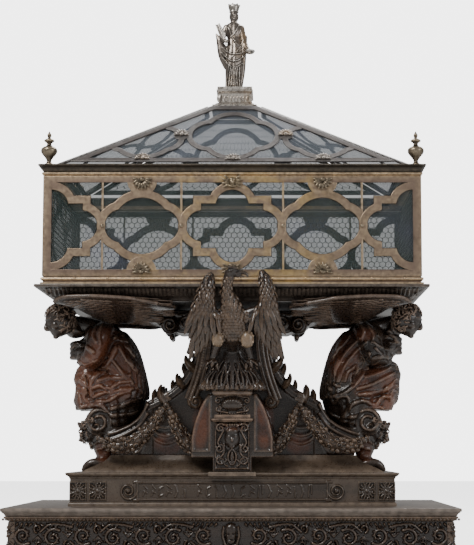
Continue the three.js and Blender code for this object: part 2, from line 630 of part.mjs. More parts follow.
function pedestal() {
  const { height, foot, neck, slab } = PEDESTAL;
  const z = Z.cap;
  const body = stack([[foot, foot, z], [foot, foot, z + 4], [48, 48, z + 11], [neck, neck, z + 24],
    [neck + 1, neck + 1, z + 40], [slab, slab, z + 43], [slab, slab, z + height]]);
  const leaves = [-1, 1].flatMap((sx) => [-1, 1].map((sy) =>
    ball(sx * 43, sy * 43, z + 34, 7, 7, 13, 4, 3)));
  return fuse([body, ...leaves]);
}
piece("pedestal", pedestal(), silver);

function saint() {
  const z = Z.cap + PEDESTAL.height + GAP;
  const cx = -4;
  const slab = block(-60, 60, -60, 60, z - 30, z);
  const robe = limb([[cx, 0, z, 23, 20], [cx - 1, 0, z + 34, 22, 19], [cx + 1, 0, z + 86, 25, 20],
    [cx + 2, 0, z + 120, 24, 20], [cx, 0, z + 148, 19, 16], [cx - 1, 0, z + 170, 27, 17],
    [cx, 0, z + 186, 20, 13], [cx, 0, z + 194, 8, 8], [cx, 0, z + 206, 8, 8]], 10, V(1, 0, 0),
  { count: 5, depth: 0.07 });
  const head = [
    ball(cx, -1, z + 211, 12, 14, 16, 7, 5),
    turned([[0, 0], [13, 0], [16, 24], [0, 22]], 7, cx, 0, z + 220),
  ];
  // Her right arm gathers the mantle; her left forearm holds a dish to the front.
  const arms = [
    limb([[cx - 20, 0, z + 178, 9], [cx - 31, -3, z + 150, 9], [cx - 24, -20, z + 134, 6]], 5, V(0, 1, 0)),
    limb([[cx + 20, 0, z + 176, 9], [cx + 29, -3, z + 130, 9], [cx + 42, -20, z + 106, 6]], 5, V(0, 1, 0)),
  ];
  const flap = limb([[cx - 18, 0, z + 100, 16, 10], [cx - 40, 0, z + 144, 9, 8], [cx - 48, 0, z + 158, 3, 3]],
    6, V(1, 0, 0));
  const lower = limb([[cx - 40, 0, z + 140, 9, 8], [cx - 34, 0, z + 100, 9, 9], [cx - 22, 0, z + 68, 6, 7]],
    6, V(1, 0, 0));
  const fold = limb([[cx + 28, 0, z + 150, 9, 9], [cx + 26, -4, z + 112, 9, 9], [cx + 24, 0, z + 60, 8, 9],
    [cx + 18, 0, z + 16, 7, 9]], 5, V(1, 0, 0));
  const dish = turned([[0, 0], [11, 2], [14, 7], [0, 8]], 7, cx + 44, -22, z + 98);
  return fuse([robe, ...head, ...arms, flap, lower, fold, dish]).subtract(slab);
}
piece("saint", saint(), silver);

export default object;
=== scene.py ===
import math
import random

import bpy
import numpy as np
from mathutils import Matrix, Vector
from mathutils.bvhtree import BVHTree


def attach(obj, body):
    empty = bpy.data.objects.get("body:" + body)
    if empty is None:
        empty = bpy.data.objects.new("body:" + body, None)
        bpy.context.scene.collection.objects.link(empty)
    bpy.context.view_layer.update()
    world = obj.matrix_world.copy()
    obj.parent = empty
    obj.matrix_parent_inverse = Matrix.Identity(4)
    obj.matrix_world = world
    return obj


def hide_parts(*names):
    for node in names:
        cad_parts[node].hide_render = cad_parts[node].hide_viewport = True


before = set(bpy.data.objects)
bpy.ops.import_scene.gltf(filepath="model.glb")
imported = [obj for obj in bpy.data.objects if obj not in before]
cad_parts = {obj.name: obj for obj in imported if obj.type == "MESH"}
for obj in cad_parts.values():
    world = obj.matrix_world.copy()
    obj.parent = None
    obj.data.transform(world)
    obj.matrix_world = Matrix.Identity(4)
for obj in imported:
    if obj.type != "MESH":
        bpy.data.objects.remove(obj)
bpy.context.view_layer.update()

random.seed(7)
FRONT_LIMIT, BACK_LIMIT = -323.8, 293.9  # mm, how far forward and back the carving may reach
AHEAD = 14.92  # mm, the stand's middle lies this far behind the middle of the whole

# The object is drawn in millimetres about the stand's middle; settle() brings a piece into the frame.
SLAB, PLINTH, PLINTH_TOP, STAND = 125.0, 145.0, 230.0, 274.0
SOFFIT, BOARD, PANEL, PANEL_MID, CORNICE, EAVES, CAP = 661.0, 701.0, 723.0, 850.0, 977.0, 1007.0, 1209.0


# ------------------------------------------------------------------ modelling helpers
def deselect():
    if bpy.context.object and bpy.context.object.mode != "OBJECT":
        bpy.ops.object.mode_set(mode="OBJECT")
    bpy.ops.object.select_all(action="DESELECT")


def pick(*objects):
    deselect()
    for o in objects:
        o.select_set(True)
    bpy.context.view_layer.objects.active = objects[0]
    return objects[0]


def join(name, objects):
    pick(*objects)
    if len(objects) > 1:
        bpy.ops.object.join()
    o = bpy.context.object
    o.name = name
    o.data.name = name
    return o


def apply(o, kind, **settings):
    pick(o)
    m = o.modifiers.new(kind, kind)
    for key, value in settings.items():
        setattr(m, key, value)
    bpy.ops.object.modifier_apply(modifier=m.name)
    return o


def points_of(o):
    co = np.empty(len(o.data.vertices) * 3, np.float32)
    o.data.vertices.foreach_get("co", co)
    return co.reshape(-1, 3).astype(float)


def set_points(o, co):
    o.data.vertices.foreach_set("co", np.asarray(co, np.float32).ravel())
    o.data.update()


def normals_of(o):
    n = np.empty(len(o.data.vertices) * 3, np.float32)
    o.data.vertices.foreach_get("normal", n)
    return n.reshape(-1, 3).astype(float)


def lattice(name, co, wrap=False, caps=False):
    """A grid primitive whose points are set to co[row][column]; wrap closes each row into a ring."""
    co = np.asarray(co, float)
    if wrap:
        co = np.concatenate([co, co[:, :1]], axis=1)
    rows, cols = co.shape[:2]
    deselect()
    bpy.ops.mesh.primitive_grid_add(x_subdivisions=cols - 1, y_subdivisions=rows - 1, size=2)
    o = bpy.context.object
    o.name = name
    set_points(o, co.reshape(-1, 3))
    if wrap or caps:
        bpy.ops.object.mode_set(mode="EDIT")
        bpy.ops.mesh.select_all(action="SELECT")
        bpy.ops.mesh.remove_doubles(threshold=0.001)
        if caps:
            bpy.ops.mesh.select_all(action="DESELECT")
            bpy.ops.mesh.select_non_manifold()
            bpy.ops.mesh.fill_holes(sides=0)
        bpy.ops.mesh.select_all(action="SELECT")
        bpy.ops.mesh.normals_make_consistent(inside=False)
        bpy.ops.object.mode_set(mode="OBJECT")
    return o


def spline(points, steps):
    """A smooth run through the points (any number of columns), `steps` per span."""
    p = np.asarray(points, float)
    p = np.vstack([2 * p[0] - p[1], p, 2 * p[-1] - p[-2]])
    out = []
    for i in range(1, len(p) - 2):
        for k in range(steps):
            t = k / steps
            a, b, c, d = p[i - 1], p[i], p[i + 1], p[i + 2]
            out.append(0.5 * (2 * b + (c - a) * t + (2 * a - 5 * b + 4 * c - d) * t * t
                              + (3 * b - a - 3 * c + d) * t ** 3))
    out.append(p[-2])
    return np.array(out)


def limb(name, stations, sides=12, across=(0, 1, 0), steps=3, flutes=(0, 0.0)):
    """An oval limb through [x, y, z, wide, deep], smooth between stations."""
    s = [list(q) + [q[3]] if len(q) == 4 else list(q) for q in stations]
    p = spline(s, steps) if steps > 1 else np.array(s, float)
    if steps > 1:
        ends = []
        for q, n in ((p[0], p[0, :3] - p[1, :3]), (p[-1], p[-1, :3] - p[-2, :3])):
            r = min(q[3], q[4])
            n = n / np.linalg.norm(n)
            ends.append([np.r_[q[:3] + n * r * k, q[3:5] * w] for k, w in ((0.3, 0.95), (0.6, 0.78), (0.85, 0.45))])
        p = np.vstack(ends[0][::-1] + [p] + ends[1])
    at = p[:, :3]
    along = np.gradient(at, axis=0)
    along /= np.linalg.norm(along, axis=1)[:, None]
    across = np.array(across, float)
    out = np.cross(along, across)
    out /= np.linalg.norm(out, axis=1)[:, None]
    side = np.cross(out, along)
    ang = np.arange(sides) * 2 * math.pi / sides
    ripple = 1 + flutes[1] * np.cos(flutes[0] * ang)
    co = (at[:, None] + side[:, None] * (p[:, 3, None] * (np.cos(ang) * ripple)[None])[..., None]
          + out[:, None] * (p[:, 4, None] * (np.sin(ang) * ripple)[None])[..., None])
    return lattice(name, co, wrap=True, caps=True)


def ball(x, y, z, rx, ry, rz, wide=20, high=12, turn=0.0):
    deselect()
    bpy.ops.mesh.primitive_uv_sphere_add(segments=wide, ring_count=high, radius=1)
    o = bpy.context.object
    m = Matrix.Translation((x, y, z)) @ Matrix.Rotation(turn, 4, "Y") @ Matrix.Diagonal((rx, ry, rz, 1))
    o.data.transform(m)
    return o


def risen(name, sides, levels, square=False):
    """A ring drawn up through levels [half x, half y, z]: a turned piece, or a four-sided moulding."""
    deselect()
    n = 4 if square else sides
    ang = np.arange(n) * 2 * math.pi / n + (math.pi / 4 if square else 0)
    k = math.sqrt(2) if square else 1
    ring = np.stack([np.cos(ang) * k, np.sin(ang) * k], 1)
    co = [[(hx * u, hy * v, z) for u, v in ring] for hx, hy, z in levels]
    return lattice(name, co, wrap=True, caps=True)


def framed(name, levels):
    """An open rectangular frame: the profile [half x, half y, z] is a closed loop."""
    ang = np.arange(4) * math.pi / 2 + math.pi / 4
    ring = np.stack([np.cos(ang), np.sin(ang)], 1) * math.sqrt(2)
    loop = list(levels) + [levels[0]]
    co = [[(hx * u, hy * v, z) for u, v in ring] for hx, hy, z in loop]
    return lattice(name, co, wrap=True)


def slab(name, outline, y0, y1, bevel=0.0):
    """A board cut to an outline of (x, z), from y0 to y1."""
    curve = bpy.data.curves.new(name, "CURVE")
    curve.dimensions = "2D"
    curve.fill_mode = "BOTH"
    loops = outline if isinstance(outline[0][0], (list, tuple, np.ndarray)) else [outline]
    for loop in loops:
        s = curve.splines.new("POLY")
        s.points.add(len(loop) - 1)
        for p, (u, v) in zip(s.points, loop):
            p.co = (u, v, 0, 1)
        s.use_cyclic_u = True
    curve.extrude = (y1 - y0) / 2 - bevel
    curve.bevel_depth = bevel
    curve.bevel_resolution = 1
    curve.offset = -bevel
    o = bpy.data.objects.new(name, curve)
    bpy.context.scene.collection.objects.link(o)
    pick(o)
    bpy.ops.object.convert(target="MESH")
    o = bpy.context.object
    o.data.transform(Matrix.Translation((0, (y0 + y1) / 2, 0)) @ Matrix.Rotation(math.pi / 2, 4, "X"))
    return o


def turned_about(o, matrix):
    o.data.transform(matrix)
    if matrix.determinant() < 0:
        o.data.flip_normals()
    return o


def twin(o, matrix, name=None):
    c = o.copy()
    c.data = o.data.copy()
    bpy.context.scene.collection.objects.link(c)
    if name:
        c.name = name
    return turned_about(c, matrix)


MX = Matrix.Diagonal((-1, 1, 1, 1))
MY = Matrix.Diagonal((1, -1, 1, 1))


def strewn(name, template, places):
    """Copies of one small shape, each put down by its matrix, in one mesh."""
    co = points_of(template)
    faces = [tuple(p.vertices) for p in template.data.polygons]
    n = len(co)
    verts = np.vstack([(np.c_[co, np.ones(n)] @ np.array(m).T)[:, :3] for m in places])
    all_faces = []
    for k, m in enumerate(places):
        flip = m.determinant() < 0
        for f in faces:
            g = tuple(i + k * n for i in f)
            all_faces.append(g[::-1] if flip else g)
    me = bpy.data.meshes.new(name)
    me.from_pydata(verts.tolist(), [], all_faces)
    o = bpy.data.objects.new(name, me)
    bpy.context.scene.collection.objects.link(o)
    return o


def carved(name, objects, voxel, smooth=4, factor=0.5):
    """Melts blocked-out forms into one skin."""
    o = join(name, objects)
    apply(o, "REMESH", mode="VOXEL", voxel_size=voxel)
    if smooth:
        apply(o, "SMOOTH", factor=factor, iterations=smooth)
    return o


def smooth_shade(o, angle=None):
    pick(o)
    if angle is None:
        bpy.ops.object.shade_smooth()
    else:
        bpy.ops.object.shade_smooth_by_angle(angle=math.radians(angle))
    return o


def settle(o, name, material, nodes, angle=40):
    """Brings a finished piece from millimetres into the frame and names what it stands for."""
    o.name = name
    o.data.name = name
    smooth_shade(o, angle)
    co = points_of(o)
    co[:, 1] = np.clip(co[:, 1], FRONT_LIMIT, BACK_LIMIT)
    set_points(o, co)
    o.data.transform(Matrix.Diagonal((0.001, 0.001, 0.001, 1)) @ Matrix.Translation((0, AHEAD, 0)))
    for m in (material if isinstance(material, (list, tuple)) else [material]):
        if m.name not in [s.name for s in o.data.materials if s]:
            o.data.materials.append(m)
    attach(o, "root")
    if nodes:
        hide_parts(*([nodes] if isinstance(nodes, str) else nodes))
    return o


# ------------------------------------------------------------------ finishes
def group(name, inputs, outputs):
    g = bpy.data.node_groups.new(name, "ShaderNodeTree")
    for label, kind, default in inputs:
        s = g.interface.new_socket(label, in_out="INPUT", socket_type=kind)
        if default is not None:
            s.default_value = default
    for label, kind in outputs:
        g.interface.new_socket(label, in_out="OUTPUT", socket_type=kind)
    return g, g.nodes.new("NodeGroupInput"), g.nodes.new("NodeGroupOutput")


def node(tree, kind, **settings):
    n = tree.nodes.new(kind)
    for key, value in settings.items():
        if key in n.bl_rna.properties:
            setattr(n, key, value)
        else:
            n.inputs[key.replace("_", " ")].default_value = value
    return n


def ramp(tree, source, stops):
    r = tree.nodes.new("ShaderNodeValToRGB")
    e = r.color_ramp.elements
    while len(e) < len(stops):
        e.new(0.5)
    for item, (at, colour) in zip(e, stops):
        item.position = at
        item.color = (*colour, 1) if len(colour) == 3 else colour
    tree.links.new(source, r.inputs["Fac"])
    return r.outputs["Color"]


def edge_wear_group():
    """Rubbed edges with painted highlight, and dirty hollows with painted shade, of a carved or cast surface."""
    g, i, o = group("edge_wear_and_light", [("Scale", "NodeSocketFloat", 90.0), ("Low", "NodeSocketFloat", 0.5),
                                  ("High", "NodeSocketFloat", 0.6)],
                    [("Wear_and_highlight", "NodeSocketFloat"), ("Hollow", "NodeSocketFloat")])
    geo = g.nodes.new("ShaderNodeNewGeometry")
    tex = g.nodes.new("ShaderNodeTexCoord")
    noise = node(g, "ShaderNodeTexNoise", Detail=4.0)
    g.links.new(tex.outputs["Object"], noise.inputs["Vector"])
    g.links.new(i.outputs["Scale"], noise.inputs["Scale"])
    # The high edges, picked out by pointiness, carry rubbed wear and painted highlight.
    wear = g.nodes.new("ShaderNodeMapRange")
    g.links.new(geo.outputs["Pointiness"], wear.inputs["Value"])
    g.links.new(i.outputs["Low"], wear.inputs["From Min"])
    g.links.new(i.outputs["High"], wear.inputs["From Max"])
    times = node(g, "ShaderNodeMath", operation="MULTIPLY")
    lift = node(g, "ShaderNodeMath", operation="MULTIPLY_ADD")
    lift.inputs[1].default_value = 1.6
    lift.inputs[2].default_value = -0.25
    lift.use_clamp = True
    g.links.new(noise.outputs["Fac"], lift.inputs[0])
    g.links.new(wear.outputs["Result"], times.inputs[0])
    g.links.new(lift.outputs[0], times.inputs[1])
    g.links.new(times.outputs[0], o.inputs["Wear_and_highlight"])
    # The hollows, picked out by low pointiness, carry dirt and painted shade.
    hollow = node(g, "ShaderNodeMapRange", From_Min=0.5, From_Max=0.43)
    g.links.new(geo.outputs["Pointiness"], hollow.inputs["Value"])
    g.links.new(hollow.outputs["Result"], o.inputs["Hollow"])
    return g


def mottle_group():
    """Cloudy change of tone at two scales."""
    g, i, o = group("mottle", [("Coarse", "NodeSocketFloat", 9.0), ("Fine", "NodeSocketFloat", 70.0)],
                    [("Cloud", "NodeSocketFloat"), ("Speck", "NodeSocketFloat")])
    tex = g.nodes.new("ShaderNodeTexCoord")
    for source, label, rough in (("Coarse", "Cloud", 0.6), ("Fine", "Speck", 0.65)):
        n = node(g, "ShaderNodeTexNoise", Detail=6.0, Roughness=rough)
        g.links.new(tex.outputs["Object"], n.inputs["Vector"])
        g.links.new(i.outputs[source], n.inputs["Scale"])
        g.links.new(n.outputs["Fac"], o.inputs[label])
    return g


def grain_group():
    """Long wood grain along X with open pores."""
    g, i, o = group("grain", [("Stretch", "NodeSocketVector", (3.0, 40.0, 40.0))],
                    [("Grain", "NodeSocketFloat"), ("Pores", "NodeSocketFloat")])
    tex = g.nodes.new("ShaderNodeTexCoord")
    scale = node(g, "ShaderNodeVectorMath", operation="MULTIPLY")
    g.links.new(tex.outputs["Object"], scale.inputs[0])
    g.links.new(i.outputs["Stretch"], scale.inputs[1])
    n = node(g, "ShaderNodeTexNoise", Scale=1.0, Detail=5.0, Distortion=0.6)
    g.links.new(scale.outputs[0], n.inputs["Vector"])
    p = node(g, "ShaderNodeTexNoise", Scale=7.0, Detail=2.0)
    g.links.new(scale.outputs[0], p.inputs["Vector"])
    g.links.new(n.outputs["Fac"], o.inputs["Grain"])
    g.links.new(p.outputs["Fac"], o.inputs["Pores"])
    return g


EDGE, MOTTLE, GRAIN = edge_wear_group(), mottle_group(), grain_group()


def use(tree, g, **values):
    n = tree.nodes.new("ShaderNodeGroup")
    n.node_tree = g
    for key, value in values.items():
        n.inputs[key].default_value = value
    return n


def mix(tree, fac, a, b, blend="MIX"):
    m = tree.nodes.new("ShaderNodeMix")
    m.data_type = "RGBA"
    m.blend_type = blend
    m.clamp_factor = True
    for value, index in ((fac, 0), (a, 6), (b, 7)):
        if isinstance(value, bpy.types.NodeSocket):
            tree.links.new(value, m.inputs[index])
        elif index == 0:
            m.inputs[0].default_value = value
        else:
            m.inputs[index].default_value = (*value, 1)
    return m.outputs[2]


def math_node(tree, operation, a, b, clamp=False):
    m = node(tree, "ShaderNodeMath", operation=operation)
    m.use_clamp = clamp
    for value, socket in ((a, m.inputs[0]), (b, m.inputs[1])):
        if isinstance(value, bpy.types.NodeSocket):
            tree.links.new(value, socket)
        else:
            socket.default_value = value
    return m.outputs[0]


def material(name):
    m = bpy.data.materials.new(name)
    m.use_nodes = True
    t = m.node_tree
    return m, t, t.nodes["Principled BSDF"]


def bump(tree, shader, height, strength, distance):
    b = node(tree, "ShaderNodeBump", Strength=strength, Distance=distance)
    tree.links.new(height, b.inputs["Height"])
    tree.links.new(b.outputs["Normal"], shader.inputs["Normal"])


def wood(name, dark, mid, rubbed_and_lit, cloth=None, wear=(0.505, 0.57), stretch=(3.0, 40.0, 40.0), rough=(0.3, 0.5)):
    """Old waxed walnut: near black in the hollows with painted shade, rubbed grey-brown with painted highlight on the
    high places.
    """
    m, t, s = material(name)
    edge = use(t, EDGE, Scale=60.0, Low=wear[0], High=wear[1])
    cloud = use(t, MOTTLE, Coarse=14.0, Fine=160.0)
    grain = use(t, GRAIN, Stretch=stretch)
    body = mix(t, math_node(t, "MULTIPLY_ADD", grain.outputs["Grain"], 1.4), dark, mid)
    t.nodes[-2].inputs[2].default_value = -0.2
    if cloth:
        attr = node(t, "ShaderNodeAttribute", attribute_name="dye")
        dyed = mix(t, ramp(t, cloud.outputs["Cloud"], [(0.3, (0, 0, 0)), (0.62, (1, 1, 1))]), cloth[0], cloth[1])
        body = mix(t, attr.outputs["Fac"], body, dyed)
    # Painted shade with dirt: the hollows are mixed towards near black.
    body = mix(t, math_node(t, "MULTIPLY", edge.outputs["Hollow"], 0.8), body, (0.012, 0.008, 0.006))
    # Rubbed wear and painted highlight: the high edges take the pale rubbed_and_lit colour.
    body = mix(t, edge.outputs["Wear_and_highlight"], body, rubbed_and_lit)
    t.links.new(body, s.inputs["Base Color"])
    t.links.new(ramp(t, cloud.outputs["Speck"], [(0.3, (rough[0],) * 3), (0.75, (rough[1],) * 3)]),
                s.inputs["Roughness"])
    height = math_node(t, "ADD", grain.outputs["Pores"], math_node(t, "MULTIPLY", cloud.outputs["Speck"], 1.2))
    bump(t, s, height, 0.35, 0.0006)
    s.inputs["Specular IOR Level"].default_value = 0.6
    s.inputs["Coat Weight"].default_value = 0.3
    s.inputs["Coat Roughness"].default_value = 0.18
    return m


def metal(name, base, patch, tarnish, metallic, rough, wear=(0.51, 0.58), glint=(0.9, 0.8, 0.6), cloud=(0.52, 0.66),
          bright=None):
    """Weathered metal: dulled overall, bright where it is rubbed and with a painted glint on the edges, dark in the
    corners.
    """
    m, t, s = material(name)
    edge = use(t, EDGE, Scale=120.0, Low=wear[0], High=wear[1])
    clouds = use(t, MOTTLE, Coarse=7.0, Fine=120.0)
    fine = use(t, MOTTLE, Coarse=34.0, Fine=420.0)
    body = mix(t, ramp(t, clouds.outputs["Cloud"], [(cloud[0], (0, 0, 0)), (cloud[1], (1, 1, 1))]), base, patch)
    if bright:
        # Brighter gold patches towards the middle of each side.
        place = t.nodes.new("ShaderNodeTexCoord")
        split = t.nodes.new("ShaderNodeSeparateXYZ")
        t.links.new(place.outputs["Object"], split.inputs[0])
        near = node(t, "ShaderNodeMapRange", From_Min=0.30, From_Max=0.04)
        t.links.new(math_node(t, "ABSOLUTE", split.outputs["X"], 0.0), near.inputs["Value"])
        patches = use(t, MOTTLE, Coarse=16.0, Fine=90.0)
        middle_gold_patches = math_node(t, "MULTIPLY", near.outputs["Result"],
                              ramp(t, patches.outputs["Cloud"], [(0.49, (0, 0, 0)), (0.62, (1, 1, 1))]))
        body = mix(t, middle_gold_patches, body, bright)
    body = mix(t, ramp(t, fine.outputs["Cloud"], [(0.5, (0, 0, 0)), (0.75, (0.7,) * 3)]), body, tarnish)
    body = mix(t, math_node(t, "MULTIPLY", edge.outputs["Hollow"], 0.9), body, tarnish)
    # Rubbed metal and painted glint: the high edges take the bright glint colour.
    body = mix(t, edge.outputs["Wear_and_highlight"], body, glint)
    t.links.new(body, s.inputs["Base Color"])
    s.inputs["Metallic"].default_value = metallic
    t.links.new(ramp(t, clouds.outputs["Speck"], [(0.3, (rough[0],) * 3), (0.7, (rough[1],) * 3)]),
                s.inputs["Roughness"])
    bump(t, s, math_node(t, "ADD", fine.outputs["Speck"], clouds.outputs["Speck"]), 0.25, 0.0005)
    return m


WALNUT = wood("walnut_carving", (0.007, 0.004, 0.003), (0.034, 0.019, 0.011), (0.20, 0.132, 0.086), wear=(0.512,
    0.60),
              rough=(0.17, 0.34))
WALNUT_DYED = wood("walnut_dyed_robe", (0.008, 0.005, 0.004), (0.040, 0.024, 0.015), (0.34, 0.235, 0.17),
                   cloth=((0.022, 0.010, 0.007), (0.145, 0.048, 0.021)), wear=(0.510, 0.59), rough=(0.20, 0.38))
WALNUT_RUBBED = wood("walnut_rubbed_pale", (0.05, 0.03, 0.018), (0.22, 0.145, 0.085), (0.42, 0.31, 0.21),
                     wear=(0.50, 0.56),
                     rough=(0.2, 0.36))
WALNUT_FLAT = wood("walnut_moulding", (0.018, 0.012, 0.008), (0.085, 0.056, 0.036), (0.22, 0.165, 0.12),
                   wear=(0.515, 0.60), rough=(0.22, 0.42))
WALNUT_DARK = wood("walnut_board", (0.006, 0.005, 0.004), (0.022, 0.015, 0.011), (0.16, 0.125, 0.10), wear=(0.515,
    0.60),
                   rough=(0.22, 0.40))
WALNUT_SLAB = wood("walnut_slab", (0.045, 0.030, 0.022), (0.115, 0.085, 0.065), (0.28, 0.23, 0.19),
                   wear=(0.515, 0.58), rough=(0.32, 0.55))
BRASS = metal("brass_weathered", (0.265, 0.190, 0.145), (0.50, 0.33, 0.12), (0.065, 0.045, 0.034), 0.78, (0.28, 0.50),
              glint=(0.85, 0.66, 0.42), cloud=(0.56, 0.70), bright=(0.60, 0.42, 0.18))
# Blackened brass that also stands in for shade: the painted shadow lip behind the straps and the near-black cornice
# cove.
DARK_BRASS = metal("brass_blackened_and_shadowed", (0.026, 0.022, 0.019), (0.060, 0.046, 0.032), (0.012, 0.011, 0.010), 0.6,
                   (0.3, 0.5),
                   glint=(0.13, 0.105, 0.075))
PEWTER = metal("pewter_tracery", (0.125, 0.108, 0.100), (0.19, 0.175, 0.17), (0.06, 0.06, 0.065), 0.7, (0.35, 0.6),
               glint=(0.45, 0.44, 0.43))
SILVER = metal("silver_statuette", (0.26, 0.225, 0.195), (0.36, 0.25, 0.15), (0.03, 0.026, 0.023), 0.92, (0.2, 0.4),
               wear=(0.51, 0.58), glint=(0.9, 0.85, 0.78))
BRONZE = metal("bronze_finial", (0.15, 0.12, 0.085), (0.28, 0.22, 0.14), (0.04, 0.033, 0.025), 0.85, (0.25, 0.42),
               glint=(0.6, 0.5, 0.36))
IRON = metal("blackened_iron", (0.030, 0.028, 0.026), (0.06, 0.055, 0.05), (0.015, 0.015, 0.015), 0.5, (0.4, 0.6),
             glint=(0.15, 0.14, 0.13))


def clear_glass(name, cover, light):
    m, t, s = material(name)
    cloud = use(t, MOTTLE, Coarse=5.0, Fine=60.0)
    # Dark green-grey glass tint with mottled bluish painted reflections; the light roof version is paler, a painted
    # sky reflection.
    t.links.new(ramp(t, cloud.outputs["Cloud"], [(0.30, (0.040, 0.062, 0.058)), (0.50, (0.090, 0.112, 0.110)),
                                                 (0.68, (0.110, 0.125, 0.165))]
                          if not light else [(0.30, (0.12, 0.15, 0.15)), (0.68, (0.24, 0.27, 0.33))]),
                s.inputs["Base Color"])
    t.links.new(ramp(t, cloud.outputs["Speck"], [(0.35, (0.03,) * 3), (0.8, (0.12,) * 3)]), s.inputs["Roughness"])
    s.inputs["Alpha"].default_value = cover
    s.inputs["IOR"].default_value = 1.5
    return m


GLASS = clear_glass("old_glass_painted_reflections", 0.30, False)
ROOF_GLASS = clear_glass("roof_glass_painted_sky_reflection", 0.30, True)

# ------------------------------------------------------------------ tracery
BAND = 19.0


def cell_outline(shapes, grow, samples=168):
    """The outer edge of a union of boxes (half x, half z) and discs (x, z, r) about the middle."""
    angles = list(np.linspace(0, 2 * math.pi, samples, endpoint=False))
    for s in shapes:
        if len(s) == 2:
            hx, hz = s[0] + grow, s[1] + grow
            angles += [math.atan2(sz * hz, sx * hx) % (2 * math.pi) for sx in (-1, 1) for sz in (-1, 1)]
    out = []
    for a in sorted(angles):
        c, d = math.cos(a), math.sin(a)
        best = 0.0
        for s in shapes:
            if len(s) == 2:
                reach = min((s[0] + grow) / max(abs(c), 1e-9), (s[1] + grow) / max(abs(d), 1e-9))
            else:
                b = s[0] * c + s[1] * d
                q = b * b - (s[0] ** 2 + s[1] ** 2) + (s[2] + grow) ** 2
                reach = b + math.sqrt(q) if q >= 0 else 0.0
            best = max(best, reach)
        out.append((best * c, best * d))
    return out


STEPPED = [(79.0, 57.5), (0, 50.5, 42.5), (0, -50.5, 42.5), (76.5, 0, 40), (-76.5, 0, 40)]
ROUND = [(0, 0, 72.5), (51, 0, 43), (-51, 0, 43)]
LOBED = [(0, 22, 65), (0, -22, 65), (57, 0, 51), (-57, 0, 51)]


def scaled(shapes, k):
    return [tuple(v * k for v in s) for s in shapes]


def strap_ring(shapes, u, v, y0, y1, band=BAND, bevel=0.8):
    shift = lambda loop: [(a + u, b + v) for a, b in loop]
    return slab("strap", [shift(cell_outline(shapes, band)), shift(cell_outline(shapes, 0))], y0, y1, bevel)


def cut(o, point, normal):
    """Cuts off what lies on the normal's side of a plane and closes the cut."""
    pick(o)
    bpy.ops.object.mode_set(mode="EDIT")
    bpy.ops.mesh.select_all(action="SELECT")
    bpy.ops.mesh.bisect(plane_co=point, plane_no=normal, use_fill=True, clear_outer=True)
    bpy.ops.object.mode_set(mode="OBJECT")
    return o


def rect(u0, u1, v0, v1):
    return [(u0, v0), (u1, v0), (u1, v1), (u0, v1)]


def disc(u, v, r, n=40):
    return [(u + r * math.cos(k * 2 * math.pi / n), v + r * math.sin(k * 2 * math.pi / n)) for k in range(n)]


def dome(r, h):
    """A small stud head."""
    return risen("stud", 12, [[r, r, 0], [r, r, h * 0.3], [r * 0.8, r * 0.8, h * 0.75], [r * 0.35, r * 0.35, h]])


def standing(u, v, y, turn=0.0, k=1.0):
    """Places a shape modelled upright on +Z so that it stands out towards -Y at (u, v)."""
    return (Matrix.Translation((u, y, v)) @ Matrix.Rotation(math.pi / 2, 4, "X")
            @ Matrix.Rotation(turn, 4, "Z") @ Matrix.Scale(k, 4))


def cherub_boss():
    """A small cast head between two wings, calm and plain, modelled facing +Z."""
    parts = [ball(0, 1, 5, 6.2, 7.2, 6), ball(0, 5, 5.5, 6.8, 4.5, 5), ball(0, -1.2, 10.4, 1.2, 1.8, 1.4, 8, 6),
             ball(0, -7, 4, 8, 3, 3.4)]
    for sx in (-1, 1):
        parts.append(ball(sx * 2.4, 1, 9.8, 1.5, 1.0, 1.0, 8, 6))
        for k in range(4):
            a = math.radians(-28 + k * 24)
            w = ball(12.5, 0, 2.6, 8.5, 2.4, 2.2, 10, 6)
            w.data.transform(Matrix.Rotation(a, 4, "Z"))
            if sx < 0:
                turned_about(w, MX)
            parts.append(w)
    return carved("cherub", parts, 0.9, 1)


def shell_boss():
    """A small cast shell rosette facing +Z."""
    parts = [ball(0, -4, 3, 5, 4, 4, 12, 8)]
    for k in range(9):
        a = math.radians(-8 + k * 24.5)
        p = ball(10.5, 0, 2.6, 6.5, 2.3, 2.6, 10, 6)
        p.data.transform(Matrix.Translation((0, -3, 0)) @ Matrix.Rotation(a, 4, "Z"))
        parts.append(p)
    return carved("shell", parts, 0.9, 1)


CHERUB = cherub_boss()
SHELL = shell_boss()
STUD = dome(5.2, 4.5)
SMALL_STUD = dome(3.4, 2.8)


